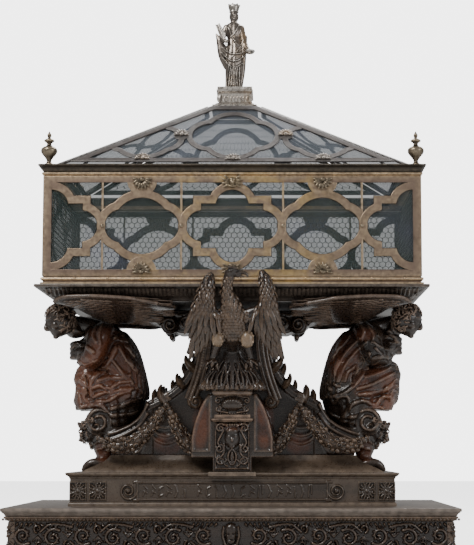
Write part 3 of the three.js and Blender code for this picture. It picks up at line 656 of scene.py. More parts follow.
def wall(half, stile, cells, node_at):
    """One pierced wall in the x-z plane, its front at y = 0 and 4 mm thick, centred on PANEL_MID."""
    zm = PANEL_MID
    parts = [slab("rails", [rect(-half, half, zm - 127, zm + 127), rect(-stile, stile, zm - 111, zm + 111)], 0, 4,
                  0.8)]
    clips = []
    for k, (shapes, u) in enumerate(cells):
        lift = 0.5 if shapes is ROUND else 0.2
        clips.append(strap_ring(shapes, u, zm, lift, 4 - lift * 0.1))
    for shapes, u in cells:
        if shapes is ROUND:
            for up in (-1, 1):
                clips.append(slab("boss_seat", disc(u, zm + up * 115, 37.5), 0.35, 3.9, 0.8))
    for u in node_at:
        parts.append(slab("bar", rect(u - 2.4, u + 2.4, zm - 112, zm - 34), 0.8, 4, 0.6))
        parts.append(slab("bar", rect(u - 2.4, u + 2.4, zm + 34, zm + 112), 0.8, 4, 0.6))
    # Painted shadow gap with dark patina: a dark strap ring set back behind each strap and a little wider on both
    # edges.
    parts_dark = []
    for k, (shapes, u) in enumerate(cells):
        parts_dark.append(strap_ring([tuple(v - (1.3 if len(q) == 2 or i == 2 else 0) for i,
                                            v in enumerate(q)) for q in shapes],
                                     u, zm, 1.6 + 0.1 * (k % 2), 3.6, BAND + 2.6, 0))
    lip = join("lip", parts_dark)
    for point, normal in (((half - 3, 0, 0), (1, 0, 0)), ((3 - half, 0, 0), (-1, 0, 0)),
                          ((0, 0, zm + 124), (0, 0, 1)), ((0, 0, zm - 124), (0, 0, -1))):
        cut(lip, point, normal)
    c = join("straps", clips)
    for point, normal in (((half - 9, 0, 0), (1, 0, 0)), ((9 - half, 0, 0), (-1, 0, 0)),
                          ((0, 0, zm + 120), (0, 0, 1)), ((0, 0, zm - 120), (0, 0, -1))):
        cut(c, point, normal)
    return join("wall", parts + [c]), lip


def wall_fittings(cells, node_at, cherubs):
    zm = PANEL_MID
    studs = [standing(u, zm, 0.4) for u in node_at]
    parts = [strewn("studs", STUD, studs)]
    heads = [standing(u, zm + up * 110, 0.3, 0 if up > 0 else math.pi, 1.35) for u in cherubs for up in (1, -1)]
    shells = [standing(u, zm + up * 112, 0.3, 0 if up < 0 else math.pi, 1.55)
              for shapes, u in cells if shapes is ROUND for up in (1, -1)]
    if heads:
        parts.append(strewn("heads", CHERUB, heads))
    if shells:
        parts.append(strewn("shells", SHELL, shells))
    return join("fittings", parts)


LONG_CELLS = [(STEPPED, 0.0), (ROUND, 228.0), (ROUND, -228.0), (STEPPED, 456.0), (STEPPED, -456.0)]
LONG_NODES = [128.5, -128.5, 327.5, -327.5]
SHORT_CELLS = [(ROUND, 0.0), (STEPPED, 228.0), (STEPPED, -228.0)]
SHORT_NODES = [99.5, -99.5]
long_wall, long_lip = wall(478, 456, LONG_CELLS, LONG_NODES)
short_wall, short_lip = wall(245.6, 228, SHORT_CELLS, SHORT_NODES)
long_fit = wall_fittings(LONG_CELLS, LONG_NODES, [0.0])
short_fit = wall_fittings(SHORT_CELLS, SHORT_NODES, [])
HALF_TURN = Matrix.Rotation(math.pi, 4, "Z")
QUARTER = Matrix.Rotation(math.pi / 2, 4, "Z")
for label, sheet, lip, fit, turn, reach in (
        ("front", long_wall, long_lip, long_fit, Matrix.Identity(4), 250),
        ("back", long_wall, long_lip, long_fit, HALF_TURN, 250),
        ("right", short_wall, short_lip, short_fit, QUARTER, 478),
        ("left", short_wall, short_lip, short_fit, QUARTER.inverted(), 478)):
    place = turn @ Matrix.Translation((0, -reach, 0))
    settle(twin(sheet, place), "tracery_" + label, BRASS, "wall_" + label, 30)
    settle(twin(lip, place), "strap_shadow_lip_" + label, DARK_BRASS, None, 30)
    settle(twin(fit, place), "bosses_" + label, BRONZE, None, 50)

# ------------------------------------------------------------------ casket mouldings
sill = risen("sill", 4, [[482, 254, 701], [482, 254, 705.6], [481, 253, 706.6], [476, 248, 707.2], [475.5, 247.5,
    710.6],
                         [478.5, 250.5, 711.2], [481, 253, 713.4], [481.6, 253.6, 715.6], [480.5, 252.5, 718], [478,
                             250, 719.4],
                         [475.5, 247.5, 720], [475.5, 247.5, 722], [477.5, 249.5, 722.5], [464, 236, 722.5],
                         [464, 236, 710], [2, 2, 710]], square=True)
studs = []
for sign in (-1, 1):
    for k in range(-5, 6):
        studs.append(standing(k * 83 + 20, 715.4, -252.6) if sign < 0 else HALF_TURN @ standing(k * 83 + 20, 715.4,
            -252.6))
    for k in range(-2, 3):
        studs.append(QUARTER @ standing(k * 83, 715.4, -480.6) if sign < 0
                     else QUARTER.inverted() @ standing(k * 83, 715.4, -480.6))
settle(join("sill", [sill, strewn("studs", SMALL_STUD, studs)]), "sill", BRASS, "casket_sill", 25)
bead = [[476, 248, 977.4], [475.5, 247.5, 979.6], [478.5, 250.5, 980.2], [481, 253, 982], [481.4, 253.4, 984],
        [480, 252, 986.4], [478, 250, 987.2], [438, 210, 987.2], [438, 210, 977.4]]
settle(framed("cornice_bead", bead), "cornice_bead", BRASS, "casket_cornice", 30)
cove = [[475.5, 247.5, 987.4], [475.5, 247.5, 989.4], [478, 250, 990], [478.4, 250.4, 992], [480, 252, 996], [483,
    255, 999.6],
        [487, 259, 1002], [489.5, 261.5, 1002.4], [489.5, 261.5, 1005], [488, 260, 1006.6], [470, 242, 1006.6],
        [438, 210, 1006.6], [438, 210, 987.4]]
# The cove faces down under the cornice; its near-black brass is partly painted shade.
settle(framed("cornice_cove", cove), "cornice_cove", DARK_BRASS, None, 30)

# ------------------------------------------------------------------ roof
ROOF_X, ROOF_Y, ROOF_TOP, RISE = 456.0, 228.0, 62.0, 202.0


def hip_cut(o, eaves, length, inset):
    """Clips a slope's straps, drawn flat in x-z with the eaves at z = 0, to the slope's edges."""
    lean = math.hypot(length, eaves - ROOF_TOP) / length
    for sx in (-1, 1):
        n = Vector((sx * length, 0, eaves - ROOF_TOP)).normalized()
        cut(o, (sx * (eaves - inset * lean), 0, 0), n)
    cut(o, (0, 0, length - inset), (0, 0, 1))
    return cut(o, (0, 0, inset), (0, 0, -1))


def trapezium(eaves, length, inset):
    lean = math.hypot(length, eaves - ROOF_TOP) / length
    half = lambda v: eaves - (eaves - ROOF_TOP) * v / length - inset * lean
    return [(-half(inset), inset), (half(inset), inset), (half(length - inset), length - inset),
            (-half(length - inset), length - inset)]


def slope_sheet(eaves, run, cells, discs_at, rosettes):
    length = math.hypot(run, RISE)
    straps = [strap_ring(scaled(shapes, k), u, v, 0.2 + 0.25 * i, 3.95 - 0.1 * i, 15)
              for i, (shapes, u, v, k) in enumerate(cells)]
    straps += [slab("knot", disc(u, v, r, 28), 1.1, 3.5, 0.8) for u, v, r in discs_at]
    s = hip_cut(join("straps", straps), eaves, length, 18)
    edge = slab("edge", [trapezium(eaves, length, 12), trapezium(eaves, length, 26)], 0, 4, 0.8)
    sheet = join("slope", [s, edge])
    boss = strewn("rosettes", SHELL, [standing(u, v, 0.9, t, 1.25) for u, v, t in rosettes])
    return sheet, boss, length


def on_roof(run, length, eaves_at, turn):
    """Stands a slope drawn in x-z (front at y = 0) on the roof, outer face outwards."""
    lean = math.atan2(run, RISE)
    return turn @ Matrix.Translation((0, -eaves_at, EAVES + 6)) @ Matrix.Rotation(-lean, 4, "X")


long_slope, long_boss, long_len = slope_sheet(
    ROOF_X, ROOF_Y - ROOF_TOP,
    [(LOBED, 0, 122, 1.0), (ROUND, 232, 108, 0.95), (ROUND, -232, 108, 0.95)],
    [(136, 126, 21), (-136, 126, 21), (232, 30, 17), (-232, 30, 17)],
    [(136, 126, 0), (-136, 126, 0), (232, 26, 0), (-232, 26, 0), (0, 24, 0)])
short_slope, short_boss, short_len = slope_sheet(
    ROOF_Y, ROOF_X - ROOF_TOP,
    [(LOBED, 0, 118, 1.08), (ROUND, 0, 270, 0.57)],
    [(140, 100, 18), (-140, 100, 18), (85, 262, 18), (-85, 262, 18), (0, 221, 15)],
    [(140, 100, 0), (-140, 100, 0), (0, 221, 0)])
for label, sheet, boss, run, length, at, turn in (
        ("front", long_slope, long_boss, ROOF_Y - ROOF_TOP, long_len, ROOF_Y, Matrix.Identity(4)),
        ("back", long_slope, long_boss, ROOF_Y - ROOF_TOP, long_len, ROOF_Y, HALF_TURN),
        ("right", short_slope, short_boss, ROOF_X - ROOF_TOP, short_len, ROOF_X, QUARTER),
        ("left", short_slope, short_boss, ROOF_X - ROOF_TOP, short_len, ROOF_X, QUARTER.inverted())):
    place = on_roof(run, length, at, turn)
    settle(twin(sheet, place), "roof_tracery_" + label, PEWTER, "roof_" + label, 30)
    settle(twin(boss, place), "roof_bosses_" + label, SILVER, None, 50)

ribs = []
for sx in (-1, 1):
    for sy in (-1, 1):
        foot, head = Vector((sx * 447, sy * 219, 1012)), Vector((sx * 60, sy * 60, 1205))
        ribs.append(limb("rib", [[*foot, 7.5, 4.2], [*head, 7.5, 4.2]], 10, (sx * -0.5, sy * 1.0, 0), steps=1))
eaves_ring = framed("eaves", [[455, 227, 1007], [455, 227, 1011], [453, 225, 1012.5], [445, 217, 1012.5],
                              [442, 214, 1010], [442, 214, 1007]])
cap_plate = risen("cap", 4, [[40, 40, 1202], [62, 62, 1203], [62, 62, 1207], [60, 60, 1208.6]], square=True)
settle(join("roof_ribs", ribs + [eaves_ring, cap_plate]), "roof_ribs", PEWTER, "roof_frame", 40)

for sy, fb in ((-1, "front"), (1, "back")):
    for sx, lr in ((-1, "left"), (1, "right")):
        profile = [(0.5, 0), (11, 0), (11, 3), (9.5, 4.5), (7, 6.5), (5.5, 10), (6.5, 14), (11, 21), (17, 28),
                   (20.4, 34), (20.8, 38), (19.5, 42.5), (15.5, 46), (9, 49), (6, 52), (5.5, 56), (8, 59),
                   (12.6, 62), (13, 64), (10.5, 66.5), (5, 69), (3.6, 72), (5.5, 76), (5, 80), (2.6, 84), (0.5, 88)]
        f = risen("finial", 28, [[r, r, EAVES + z] for r, z in profile])
        f.data.transform(Matrix.Translation((sx * 466, sy * 238, 0)))
        settle(f, f"turned_finial_{fb}_{lr}", BRONZE, f"finial_{fb}_{lr}", 60)

# ------------------------------------------------------------------ wire netting inside the back and sides
def netting(width, height, pitch, wire):
    """Twisted hexagonal wire netting in the x-z plane."""
    r = pitch / math.sqrt(3)
    verts, edges, index = [], set(), {}
    def at(x, z):
        key = (round(x, 2), round(z, 2))
        if key not in index:
            index[key] = len(verts)
            verts.append((x, 0, z))
        return index[key]
    rows, cols = int(height / (1.5 * r)) + 2, int(width / pitch) + 2
    for j in range(rows):
        for i in range(cols):
            cx = (i - cols / 2) * pitch + (pitch / 2 if j % 2 else 0)
            cz = (j - rows / 2) * 1.5 * r
            ring = [(cx + r * math.sin(math.radians(60 * k)), cz + r * math.cos(math.radians(60 * k)))
                    for k in range(6)]
            if all(abs(x) <= width / 2 and abs(z) <= height / 2 for x, z in ring):
                ids = [at(*p) for p in ring]
                for k in range(6):
                    edges.add(tuple(sorted((ids[k], ids[(k + 1) % 6]))))
    me = bpy.data.meshes.new("netting")
    me.from_pydata(verts, sorted(edges), [])
    o = bpy.data.objects.new("netting", me)
    bpy.context.scene.collection.objects.link(o)
    pick(o)
    bpy.ops.object.convert(target="CURVE")
    c = bpy.context.object
    c.data.bevel_depth = wire
    c.data.bevel_resolution = 0
    c.data.resolution_u = 1
    bpy.ops.object.convert(target="MESH")
    return bpy.context.object


net = netting(930, 236, 16.5, 1.0)
turned_about(net, Matrix.Translation((0, 239.5, PANEL_MID)))
settle(net, "netting_back", IRON, None, None)
for sx in (-1, 1):
    side_net = netting(470, 236, 16.5, 1.0)
    turned_about(side_net, Matrix.Translation((sx * 467.5, 0, PANEL_MID)) @ QUARTER)
    settle(side_net, "netting_" + ("right" if sx > 0 else "left"), IRON, None, None)

roof_net = netting(860, 250, 23.0, 0.9)
net_points = points_of(roof_net)
net_points[:, 2] += 131
net_points[:, 0] *= np.clip((420 - (420 - 60) * net_points[:, 2] / 261) / 420, 0.1, 1)
set_points(roof_net, net_points)
turned_about(roof_net, on_roof(ROOF_Y - ROOF_TOP, long_len, ROOF_Y, HALF_TURN) @ Matrix.Translation((0, 12, 0)))
settle(roof_net, "netting_roof", IRON, None, None)

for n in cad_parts:
    if n.startswith("pane") or n.startswith("roof_pane"):
        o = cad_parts[n]
        o.data.materials.clear()
        o.data.materials.append(ROOF_GLASS if "roof" in o.name else GLASS)

# ------------------------------------------------------------------ carving by strokes
def carve(o, strokes, face=(0, -1, 0), power=0.5, gate=0.15):
    """Raises ridges, or sinks grooves, along strokes (points, width, width, height, height) seen from `face`."""
    co, n = points_of(o), normals_of(o)
    f = np.array(face, float)
    u = 0 if abs(f[1]) > 0.5 else 1
    w = np.clip((n @ f - gate) / (1 - gate) * 2.2, 0, 1)
    sel = np.where(w > 0)[0]
    p = co[sel][:, [u, 2]]
    up, down = np.zeros(len(sel)), np.zeros(len(sel))
    for pts, r0, r1, h0, h1 in strokes:
        pts = np.asarray(pts, float)
        reach = max(r0, r1)
        near = np.where(((p > pts.min(0) - reach) & (p < pts.max(0) + reach)).all(1))[0]
        if not len(near):
            continue
        q, k = p[near], len(pts) - 1
        for i in range(k):
            a, ab = pts[i], pts[i + 1] - pts[i]
            t = np.clip(((q - a) @ ab) / max(ab @ ab, 1e-9), 0, 1)
            s = (i + t) / k
            d = np.linalg.norm(q - a - t[:, None] * ab, axis=1) / (r0 + (r1 - r0) * s)
            v = (h0 + (h1 - h0) * s) * np.clip(1 - d * d, 0, None) ** power
            if h0 + h1 >= 0:
                up[near] = np.maximum(up[near], v)
            else:
                down[near] = np.minimum(down[near], v)
    co[sel] += f * ((up + down) * w[sel])[:, None]
    set_points(o, co)
    return o


def smooth_strokes(strokes, steps=4):
    return [(spline(pts, steps) if len(pts) > 2 else pts, r0, r1, h0, h1) for pts, r0, r1, h0, h1 in strokes]


def mirrored_strokes(strokes):
    return strokes + [([(-x, z) for x, z in pts], r0, r1, h0, h1) for pts, r0, r1, h0, h1 in strokes]


def relief(name, u0, u1, v0, v1, step, deep, strokes, power=0.5):
    """A slab in the x-z plane, its front at y = 0 and carved, its back at y = deep."""
    us = np.linspace(u0, u1, max(2, int((u1 - u0) / step)) + 1)
    vs = np.linspace(v0, v1, max(2, int((v1 - v0) / step)) + 1)
    us, vs = np.r_[us[0], us, us[-1]], np.r_[vs[0], vs, vs[-1]]
    co = np.zeros((len(vs), len(us), 3))
    co[..., 0], co[..., 2] = us[None], vs[:, None]
    for edge in (co[0], co[-1], co[:, 0], co[:, -1]):
        edge[..., 1] = deep
    o = lattice(name, co, caps=True)
    return carve(o, strokes, power=power)


def curl_points(u, v, r, hand, start, turns, shrink=0.82, n=26):
    out = []
    for i in range(n + 1):
        t = i / n
        a, k = start + hand * turns * 2 * math.pi * t, r * (1 - shrink * t ** 0.8)
        out.append((u + k * math.cos(a), v + k * math.sin(a)))
    return out


def acanthus(u, v, r, hand, start, turns=1.35, high=7.0, wide=None):
    """A curling leaf scroll with lobes along its back and an eye in the middle."""
    wide = wide or r * 0.17
    pts = curl_points(u, v, r, hand, start, turns)
    strokes = [(pts, wide, wide * 0.5, high, high * 0.7), ([(u, v), (u + 0.1, v)], r * 0.2, r * 0.2, high, high)]
    for i in range(1, len(pts) - 6, 2):
        t = i / (len(pts) - 1)
        p = np.array(pts[i])
        out = (p - (u, v)) / np.linalg.norm(p - (u, v))
        along = np.array([-out[1], out[0]]) * hand
        length = r * 0.46 * (1 - 0.75 * t)
        q = p + (out * 0.8 + along * 0.5) * length * 0.7
        e = q + (out * 0.35 + along * 0.9) * length * 0.5
        strokes.append(([tuple(p), tuple(q), tuple(e)], wide * 0.8, wide * 0.25, high * 0.85, high * 0.4))
    return strokes


def leaf_template(length=1.0, width=0.3, thick=0.08, droop=0.12):
    """A slender leaf or feather along +Z, its face to -Y, with a keel down the middle."""
    rows = []
    for t, w in ((0.0, 0.35), (0.18, 0.8), (0.45, 1.0), (0.72, 0.86), (0.9, 0.5), (1.0, 0.08)):
        hw, y = width * w / 2, droop * (t - 0.5) ** 2 * 2
        rows.append([(-hw, y + thick * 0.35, t * length), (-hw * 0.5, y - thick * 0.15 * w, t * length),
                     (0, y - thick * 0.75 * w, t * length), (hw * 0.5, y - thick * 0.15 * w, t * length),
                     (hw, y + thick * 0.35, t * length), (0, y + thick * 0.6, t * length)])
    return lattice("leaf", rows, wrap=True, caps=True)


def scale_template():
    """A rounded scale along +Z, its face to -Y."""
    rows = []
    for t, w in ((0.0, 0.6), (0.4, 1.0), (0.7, 0.94), (0.9, 0.62), (1.0, 0.12)):
        hw = w / 2
        rows.append([(-hw, 0.10, t), (-hw * 0.55, -0.10 * w, t), (0, -0.16 * w, t), (hw * 0.55, -0.10 * w, t),
                     (hw, 0.10, t), (0, 0.16, t)])
    return lattice("scale", rows, wrap=True, caps=True)


def rose_template():
    return risen("rose", 9, [[0.62, 0.62, 0], [1, 1, 0.35], [0.92, 0.92, 0.75], [0.62, 0.62, 0.86], [0.46, 0.46, 0.6],
                             [0.3, 0.3, 0.86], [0.05, 0.05, 0.95]])


def hook_template():
    """A lock of hair or a leaf tip that rolls over at its end, standing on +Z."""
    pts = []
    for k in range(7):
        a, r = k * 0.85, 0.62 - k * 0.075
        pts.append([r * math.cos(a) - 0.1, 0, 0.45 + r * math.sin(a), 0.2 - k * 0.016, 0.2 - k * 0.016])
    return limb("hook", pts, 6, (0, 1, 0), steps=1)


LEAF = leaf_template()
SCALE = scale_template()
ROSE = rose_template()
HOOK = hook_template()
BERRY = ball(0, 0, 0, 1, 1, 1, 8, 6)


def lay(target, template, spots, side=-1, tilt=12.0, sink=0.0, name="laid"):
    """Lays copies of a +Z pointing, -Y facing shape on a surface seen from the front or back.

    spots are [x, z, turn from straight down in degrees, length, width, thickness]."""
    tree = BVHTree.FromObject(target, bpy.context.evaluated_depsgraph_get())
    places = []
    for x, z, turn, sz, sx, sy in spots:
        hit, n, _, _ = tree.ray_cast(Vector((x, side * 600, z)), Vector((0, -side, 0)))
        if hit is None:
            continue
        a = math.radians(turn)
        down = Vector((math.sin(a), 0, -math.cos(a)))
        down = (down - n * down.dot(n)).normalized()
        lift = math.radians(tilt)
        axis_z = (down * math.cos(lift) + n * math.sin(lift)).normalized()
        axis_y = -(n * math.cos(lift) - down * math.sin(lift)).normalized()
        axis_x = axis_y.cross(axis_z)
        m = Matrix((axis_x * sx, axis_y * sy, axis_z * sz)).transposed().to_4x4()
        m.translation = hit - n * sink
        places.append(m)
    return strewn(name, template, places)


def standing_on(target, template, spots, side=-1, name="set"):
    """Puts copies of a +Z standing shape on a surface seen from the front or back: [x, z, turn, size]."""
    tree = BVHTree.FromObject(target, bpy.context.evaluated_depsgraph_get())
    places = []
    for x, z, turn, size in spots:
        hit, n, _, _ = tree.ray_cast(Vector((x, side * 600, z)), Vector((0, -side, 0)))
        if hit is None:
            continue
        m = n.to_track_quat("Z", "Y").to_matrix().to_4x4() @ Matrix.Rotation(math.radians(turn), 4, "Z")
        m = m @ Matrix.Scale(size, 4)
        m.translation = hit - n * size * 0.15
        places.append(m)
    return strewn(name, template, places)


def dye(o, blobs, inside=1.0):
    """Marks where the carver's red-brown colour still lies: blobs are [x, z, rx, rz]."""
    co = points_of(o)
    value = np.zeros(len(co))
    for x, z, rx, rz in blobs:
        d = ((co[:, 0] - x) / rx) ** 2 + ((co[:, 2] - z) / rz) ** 2
        value = np.maximum(value, inside * np.clip(1.6 - 1.2 * d, 0, 1))
    value *= np.clip((612 - co[:, 2]) / 12, 0, 1)
    a = o.data.attributes.new("dye", "FLOAT", "POINT")
    a.data.foreach_set("value", value.astype(np.float32))
    return o


# ------------------------------------------------------------------ lowest base with its leaf frieze
HX, HY = 547.0, 277.0


def leaf_run(half, mid, high):
    """Acanthus scrolls running outwards from the middle, turned up and down by turns, with leaves between."""
    strokes, count = [], max(2, round((half - 26) / 74))
    pitch = (half - 30) / count
    for k in range(count):
        u, up = 30 + pitch * (k + 0.5), 1 if k % 2 == 0 else -1
        strokes += acanthus(u, mid + up * 3, 24, up, math.pi + up * 0.9, 1.45, high, 4.6)
        edge = u + pitch * 0.5
        strokes += acanthus(edge, mid - up * 20, 11, -up, up * 1.2, 1.2, high * 0.9, 3.0)
        strokes += acanthus(edge - 3, mid + up * 21, 9, up, -up * 2.0, 1.1, high * 0.85, 2.8)
        stem = [(u - pitch * 0.62, mid - up * 24), (u - pitch * 0.3, mid - up * 29), (u + pitch * 0.1, mid - up * 30),
                (u + pitch * 0.42, mid - up * 12)]
        strokes.append((spline(stem, 4), 4.2, 3.2, high * 0.9, high * 0.7))
        for s in range(6):
            at = u - pitch * 0.42 + s * pitch * 0.15
            bend = 4 * math.sin(s * 1.9 + k)
            strokes.append(([(at, mid - up * 27), (at + 4 + bend, mid - up * 32.5)], 3.4, 1.4, high * 0.8,
                            high * 0.4))
            strokes.append(([(at, mid + up * 31), (at + 5 + bend * 0.5, mid + up * 24)], 3.2, 1.4, high * 0.75,
                            high * 0.4))
        for a in (-0.9, -0.3, 0.4, 1.0):
            strokes.append(([(edge, mid), (edge + 15 * math.sin(a), mid + up * 4 + 13 * math.cos(a) * up)], 3.0, 1.6,
                            high * 0.8, high * 0.5))
    return strokes


mid = 75.0
front_run = mirrored_strokes(leaf_run(HX, mid, 9.0))
side_run = mirrored_strokes(leaf_run(HY, mid, 9.0))
mask = [([(0, 94), (0, 66)], 15, 11, 12, 9), ([(-6, 82), (-6.1, 82)], 3, 3, -4, -4), ([(6, 82), (6.1, 82)], 3, 3,
    -4, -4),
        ([(0, 84), (0, 74)], 2.4, 3.4, 4, 5), ([(-5, 68), (5, 68)], 2, 2, -3, -3),
        ([(-18, 98), (-20, 76), (-14, 56), (0, 50), (14, 56), (20, 76), (18, 98)], 4, 4, 8, 8)]
front_face = relief("frieze", -HX, HX, 45, 112, 1.8, 14, front_run + mask)
back_face = relief("frieze", -HX, HX, 45, 112, 2.6, 14, front_run)
side_face = relief("frieze", -HY, HY, 45, 112, 2.6, 14, side_run)
core = risen("core", 4, [[HX + 10, HY + 10, 0], [HX + 10, HY + 10, 16], [HX + 8, HY + 8, 21], [HX + 3, HY + 3, 25],
                         [HX + 2, HY + 2, 32], [HX + 5, HY + 5, 36], [HX + 4, HY + 4, 41], [HX - 5, HY - 5, 44],
                         [HX - 5, HY - 5, 112], [HX + 2, HY + 2, 114], [HX + 5, HY + 5, 118], [HX + 9, HY + 9, 121],
                         [HX + 9, HY + 9, 124.4]], square=True)
turned_about(front_face, Matrix.Translation((0, -HY + 3, 0)))
turned_about(back_face, HALF_TURN @ Matrix.Translation((0, -HY + 3, 0)))
left_face = twin(side_face, QUARTER.inverted() @ Matrix.Translation((0, -HX + 3, 0)))
turned_about(side_face, QUARTER @ Matrix.Translation((0, -HX + 3, 0)))
places = []
for k in range(-62, 63):
    for sy in (0, 1):
        places.append((HALF_TURN if sy else Matrix.Identity(4)) @ standing(k * 9.0, 117.5, -HY - 4.6, 0, 1.0))
for k in range(-31, 32):
    for q in (QUARTER, QUARTER.inverted()):
        places.append(q @ standing(k * 9.0, 117.5, -HX - 4.6, 0, 1.0))
bead_row = strewn("beads", BERRY, [p @ Matrix.Diagonal((3.6, 3.2, 2.6, 1)) for p in places])
settle(join("base", [core, front_face, back_face, side_face, left_face, bead_row]), "leaf_frieze_base", WALNUT,
       "base_chest", 45)
bx, by = HX + 17, HY + 17
settle(risen("top", 4, [[bx - 12, by - 12, 125], [bx - 10, by - 10, 127], [bx - 8, by - 8, 131], [bx - 3.5,
    by - 3.5, 134.5],
                        [bx - 3, by - 3, 136.5], [bx - 0.5, by - 0.5, 137], [bx, by, 138.5], [bx, by, 142.6],
                        [bx - 1.2, by - 1.2, 144.2], [bx - 3, by - 3, 145]], square=True), "base_slab", WALNUT_SLAB,
       "base_top", 30)

# ------------------------------------------------------------------ plinth with its tablet
z0 = 145.4
px, py = 412.0, 172.0
plinth_core = risen("plinth", 4, [[px + 4, py + 4, z0], [px + 4, py + 4, z0 + 5], [px + 2.5, py + 2.5, z0 + 8],
                                  [px, py, z0 + 10], [px, py, 214], [px + 2, py + 2, 216], [px + 2.5, py + 2.5, 219],
                                  [px + 6, py + 6, 221], [px + 9.5, py + 9.5, 224], [px + 11, py + 11, 226],
                                  [px + 11, py + 11, 229], [px + 9, py + 9, 230]], square=True)
slant = risen("slant", 4, [[392, 141, 228], [389, 139, 231], [372, 131, 240], [352, 120, 249], [336, 112, 256.4],
                           [326, 107.5, 264], [319, 105, 272], [316, 104, 274]], square=True)
step = risen("pier_step", 4, [[60, 47, 221.4], [60, 47, 229], [58, 45, 232]], square=True)
turned_about(step, Matrix.Translation((0, -167, 0)))
marks = []
dice = random.Random(3)
u = -226.0
while u < 226:
    if dice.random() < 0.13:
        u += 15
        continue
    kind, w = dice.randrange(5), dice.uniform(9, 15)
    lo, hi = 168.5, 197.5
    if kind == 0:
        marks.append(([(u, lo), (u + w * 0.2, hi)], 2.2, 1.6, 2.4, 2.4))
        marks.append(([(u + w * 0.8, lo + 8), (u + w * 0.8, hi)], 1.8, 1.8, 2.2, 2.2))
    elif kind == 1:
        marks.append(([(u, hi), (u + w * 0.5, lo + 12), (u, lo)], 1.8, 2.2, 2.4, 2.2))
    elif kind == 2:
        marks.append(([(u + w, hi - 3), (u + w * 0.3, hi - 8), (u + w * 0.1, lo + 5)], 2.2, 1.6, 2.4, 2.2))
        marks.append(([(u + w * 0.3, lo + 1), (u + w, lo + 6)], 1.6, 1.6, 2.2, 2.2))
    elif kind == 3:
        marks.append(([(u + w * 0.5, lo), (u + w * 0.45, hi - 10)], 2.4, 2.0, 2.4, 2.2))
        marks.append(([(u, hi - 2), (u + w * 0.35, hi - 5)], 1.5, 1.5, 2.0, 2.0))
    else:
        marks.append(([(u, lo + 3), (u + w * 0.4, lo + 14), (u + w, lo + 10)], 1.6, 2.0, 2.2, 2.2))
        marks.append(([(u + w * 0.2, hi), (u + w, hi - 9)], 2.0, 1.6, 2.2, 2.2))
    u += w + dice.uniform(7, 12)
frame_line = [([(-241, 162), (241, 162), (241, 204), (-241, 204), (-241, 162)], 2.4, 2.4, 2.4, 2.4)]
tablet = relief("tablet", -248, 248, 157.4, 209.4, 1.5, 8, marks + frame_line)
turned_about(tablet, Matrix.Translation((0, -177 + 2.6, 0)))
end_scroll = relief("scroll_end", -31, 31, 154, 212, 1.5, 6,
                    [(curl_points(0, 183, 24, 1, math.pi, 2.1, 0.9, 40), 3.6, 2.6, 6, 7),
                     ([(0, 183), (0.1, 183)], 6, 6, 8, 8), ([(-24, 160), (-14, 160)], 6, 4, 5, 4),
                     ([(-24, 206), (-14, 206)], 6, 4, 5, 4)])
square_leaf = []
for q in range(4):
    a = q * math.pi / 2
    for side in (-1, 0, 1):
        b = a + math.pi / 4 + side * 0.42
        square_leaf.append(([(3 * math.cos(b), 3 * math.sin(b)), (21 * math.cos(b), 21 * math.sin(b))],
                            3.6, 2.2, 4.0, 5.0))
    square_leaf += [(curl_points(13 * math.cos(a), 13 * math.sin(a), 6, 1, a, 1.3, 0.8, 14), 2.2, 1.4, 4.4, 3.6)]
square_leaf.append(([(0, 0), (0.1, 0)], 6, 6, 7, 7))
square_leaf.append(([(-20, -22), (20, -22), (20, 22), (-20, 22), (-20, -22)], 2.2, 2.2, 4, 4))
square = relief("square", -22, 22, -24, 24, 1.4, 7, square_leaf)
parts = [plinth_core, slant, step, tablet]
for sx in (-1, 1):
    m = Matrix.Translation((sx * 264, -172 + 0.5, 0))
    parts.append(twin(end_scroll, m @ (MX if sx < 0 else Matrix.Identity(4))))
    for x in (341, 391):
        for turn in (Matrix.Identity(4), HALF_TURN):
            parts.append(twin(square, turn @ Matrix.Translation((sx * x, -172 - 0.2, 183.4))))
for k in (-120, -40, 40, 120):
    for q in (QUARTER, QUARTER.inverted()):
        parts.append(twin(square, q @ Matrix.Translation((k, -412 - 0.2, 183.4))))
for t in (end_scroll, square):
    bpy.data.objects.remove(t)
settle(join("plinth", parts), "plinth_with_tablet", WALNUT_FLAT, "plinth", 40)

